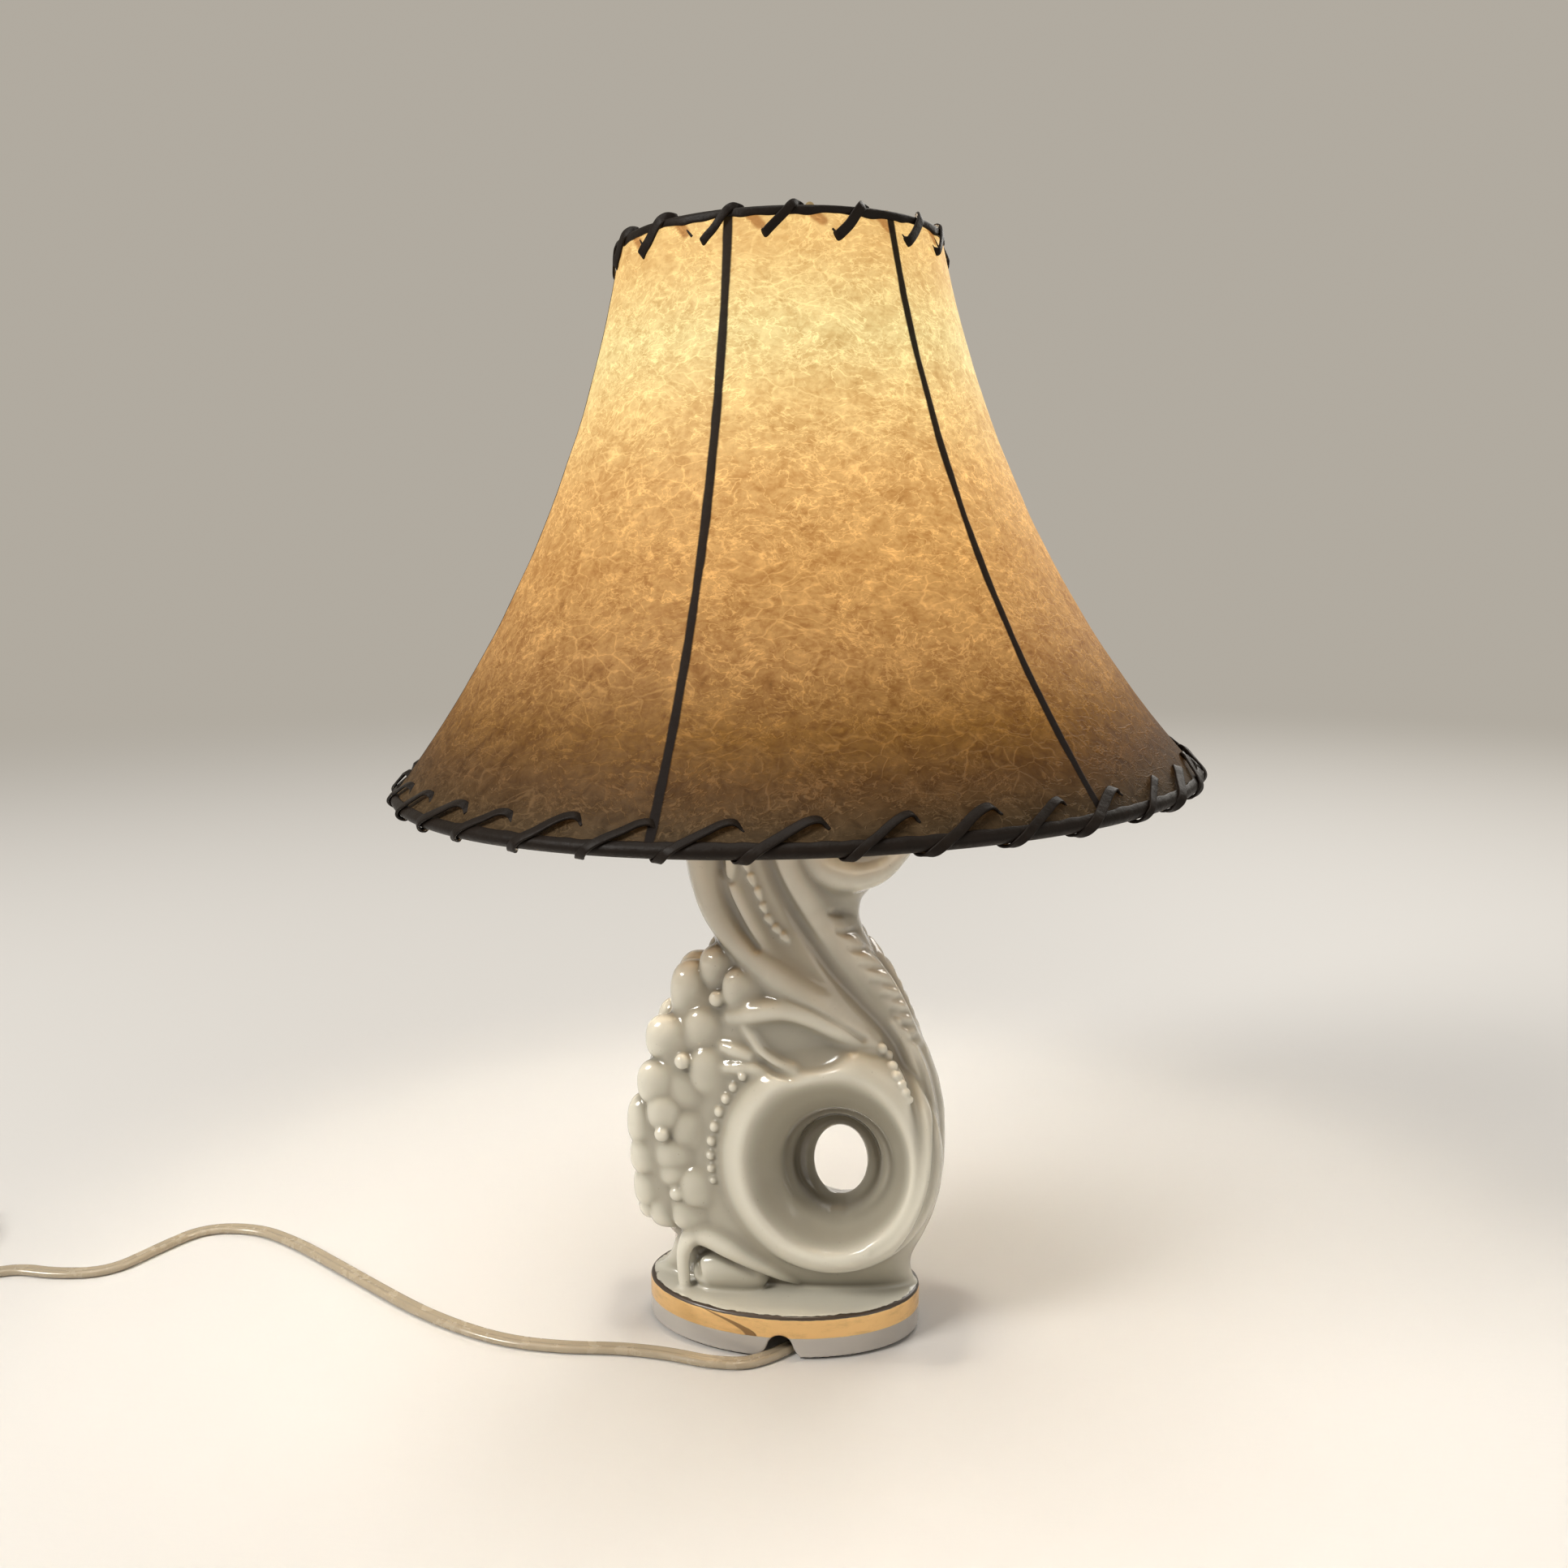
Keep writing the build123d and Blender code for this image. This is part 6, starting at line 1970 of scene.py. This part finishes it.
@dataclass(frozen=True)
class Studio:
    """Camera, pale floor and soft lights."""

    camera_place: Point3 = (0.05976, -0.44790, 0.26415)
    camera_azimuth: float = math.radians(7.6)
    camera_pitch: float = 0.163
    lens: float = 31.68
    sensor: float = 36.0
    floor_half: float = 6.0
    floor_colour: Colour = (0.66, 0.645, 0.625)
    sky_seen: Colour = (0.44, 0.405, 0.35)
    sky_light: Colour = (1.0, 0.97, 0.92)
    sky_strength: float = 0.19
    far_floor: Point2 = (0.55, 2.2)
    weave: Noise = Noise(45.0, 3.0, squeeze=(1.0, 14.0, 1.0))
    # a key from high on the left, a fill from the right, a rim from behind and a soft light overhead
    lights: tuple = (
        SoftLight("key", (-1.80, -1.45, 1.70), (0.0, 0.0, 0.10), 0.88, 58.0, (1.0, 0.97, 0.92)),
        SoftLight("fill", (2.2, -1.5, 1.05), (0.0, 0.0, 0.15), 2.0, 12.5, (1.0, 0.95, 0.88)),
        SoftLight("back", (1.1, 2.4, 1.75), (0.0, 0.0, 0.2), 1.7, 36.0, (1.0, 0.96, 0.90)),
        SoftLight("top", (-0.4, -0.3, 3.0), (0.0, 0.0, 0.0), 1.8, 34.0, (1.0, 0.97, 0.92)),
    )

    def camera(self) -> None:
        """Set the camera up first."""
        data = bpy.data.cameras.new("camera")
        data.lens, data.sensor_width, data.clip_start = self.lens, self.sensor, 0.01
        camera = bpy.data.objects.new("camera", data)
        camera.location = self.camera_place
        camera.rotation_euler = (math.pi / 2 - self.camera_pitch, 0.0, self.camera_azimuth)
        bpy.context.scene.collection.objects.link(camera)
        bpy.context.scene.camera = camera

    def floor(self) -> None:
        """A wide pale table top with a faint lengthwise texture."""
        h = self.floor_half / MM
        corners = np.array(((-h, -h, 0.0), (h, -h, 0.0), (h, h, 0.0), (-h, h, 0.0)))
        floor = piece("floor", corners, np.array(((0, 1, 2, 3),)))
        recipe = Recipe("table_top")
        where, (x, y, _) = recipe.place()
        grain = recipe.noise(where, self.weave)
        recipe.feed(Base_Color=self.floor_colour, Roughness=0.55 + grain * 0.1)
        recipe.bump(grain, 0.10, 0.0004)
        self.fade(recipe, x, y)
        floor.data.materials.append(recipe.material)

    def fade(self, recipe: Recipe, x: Maths, y: Maths) -> None:
        """Let the far floor run into the backdrop, for the camera alone.

        Args:
            recipe: The table top.
            x: Metres to the right.
            y: Metres back.
        """
        seen = Maths(recipe, recipe.node("ShaderNodeLightPath", {}, {}).outputs["Is Camera Ray"])
        far = (x**2 + y**2).root().ramp(*self.far_floor) * seen
        plain = recipe.node("ShaderNodeEmission", {}, {"Color": self.sky_seen, "Strength": 1.0})
        recipe.cover(far, plain)

    def sky(self) -> None:
        """Even light from all round, and a pale backdrop for the camera, for gloss and for glass."""
        world = bpy.data.worlds.new("studio")
        bpy.context.scene.world = world
        world.use_nodes = True
        nodes, links = world.node_tree.nodes, world.node_tree.links
        nodes.clear()
        ray, light, backdrop, both, out = (nodes.new(f"ShaderNode{kind}") for kind in (
            "LightPath", "Background", "Background", "MixShader", "OutputWorld"))
        seen = ray.outputs["Is Camera Ray"]
        for kind in ("Is Glossy Ray", "Is Transmission Ray"):
            either = nodes.new("ShaderNodeMath")
            either.operation = "MAXIMUM"
            links.new(seen, either.inputs[0])
            links.new(ray.outputs[kind], either.inputs[1])
            seen = either.outputs[0]
        light.inputs[0].default_value = (*self.sky_light, 1.0)
        light.inputs[1].default_value = self.sky_strength
        backdrop.inputs[0].default_value = (*self.sky_seen, 1.0)
        links.new(seen, both.inputs[0])
        links.new(light.outputs[0], both.inputs[1])
        links.new(backdrop.outputs[0], both.inputs[2])
        links.new(both.outputs[0], out.inputs[0])

    def build(self) -> None:
        """Floor, backdrop and lights."""
        self.floor()
        self.sky()
        for light in self.lights:
            light.hang()
        bpy.context.scene.view_settings.view_transform = "Standard"


def main() -> None:
    """Build the lamp, piece by piece."""
    logging.basicConfig(level=logging.INFO, format="%(name)s: %(message)s")
    studio = Studio()
    studio.camera()
    for part in (Cord(), CeramicFigure(), Shade(), Fittings()):
        part.dress()
    studio.build()
    bpy.context.view_layer.update()


if __name__ == "__main__":
    main()
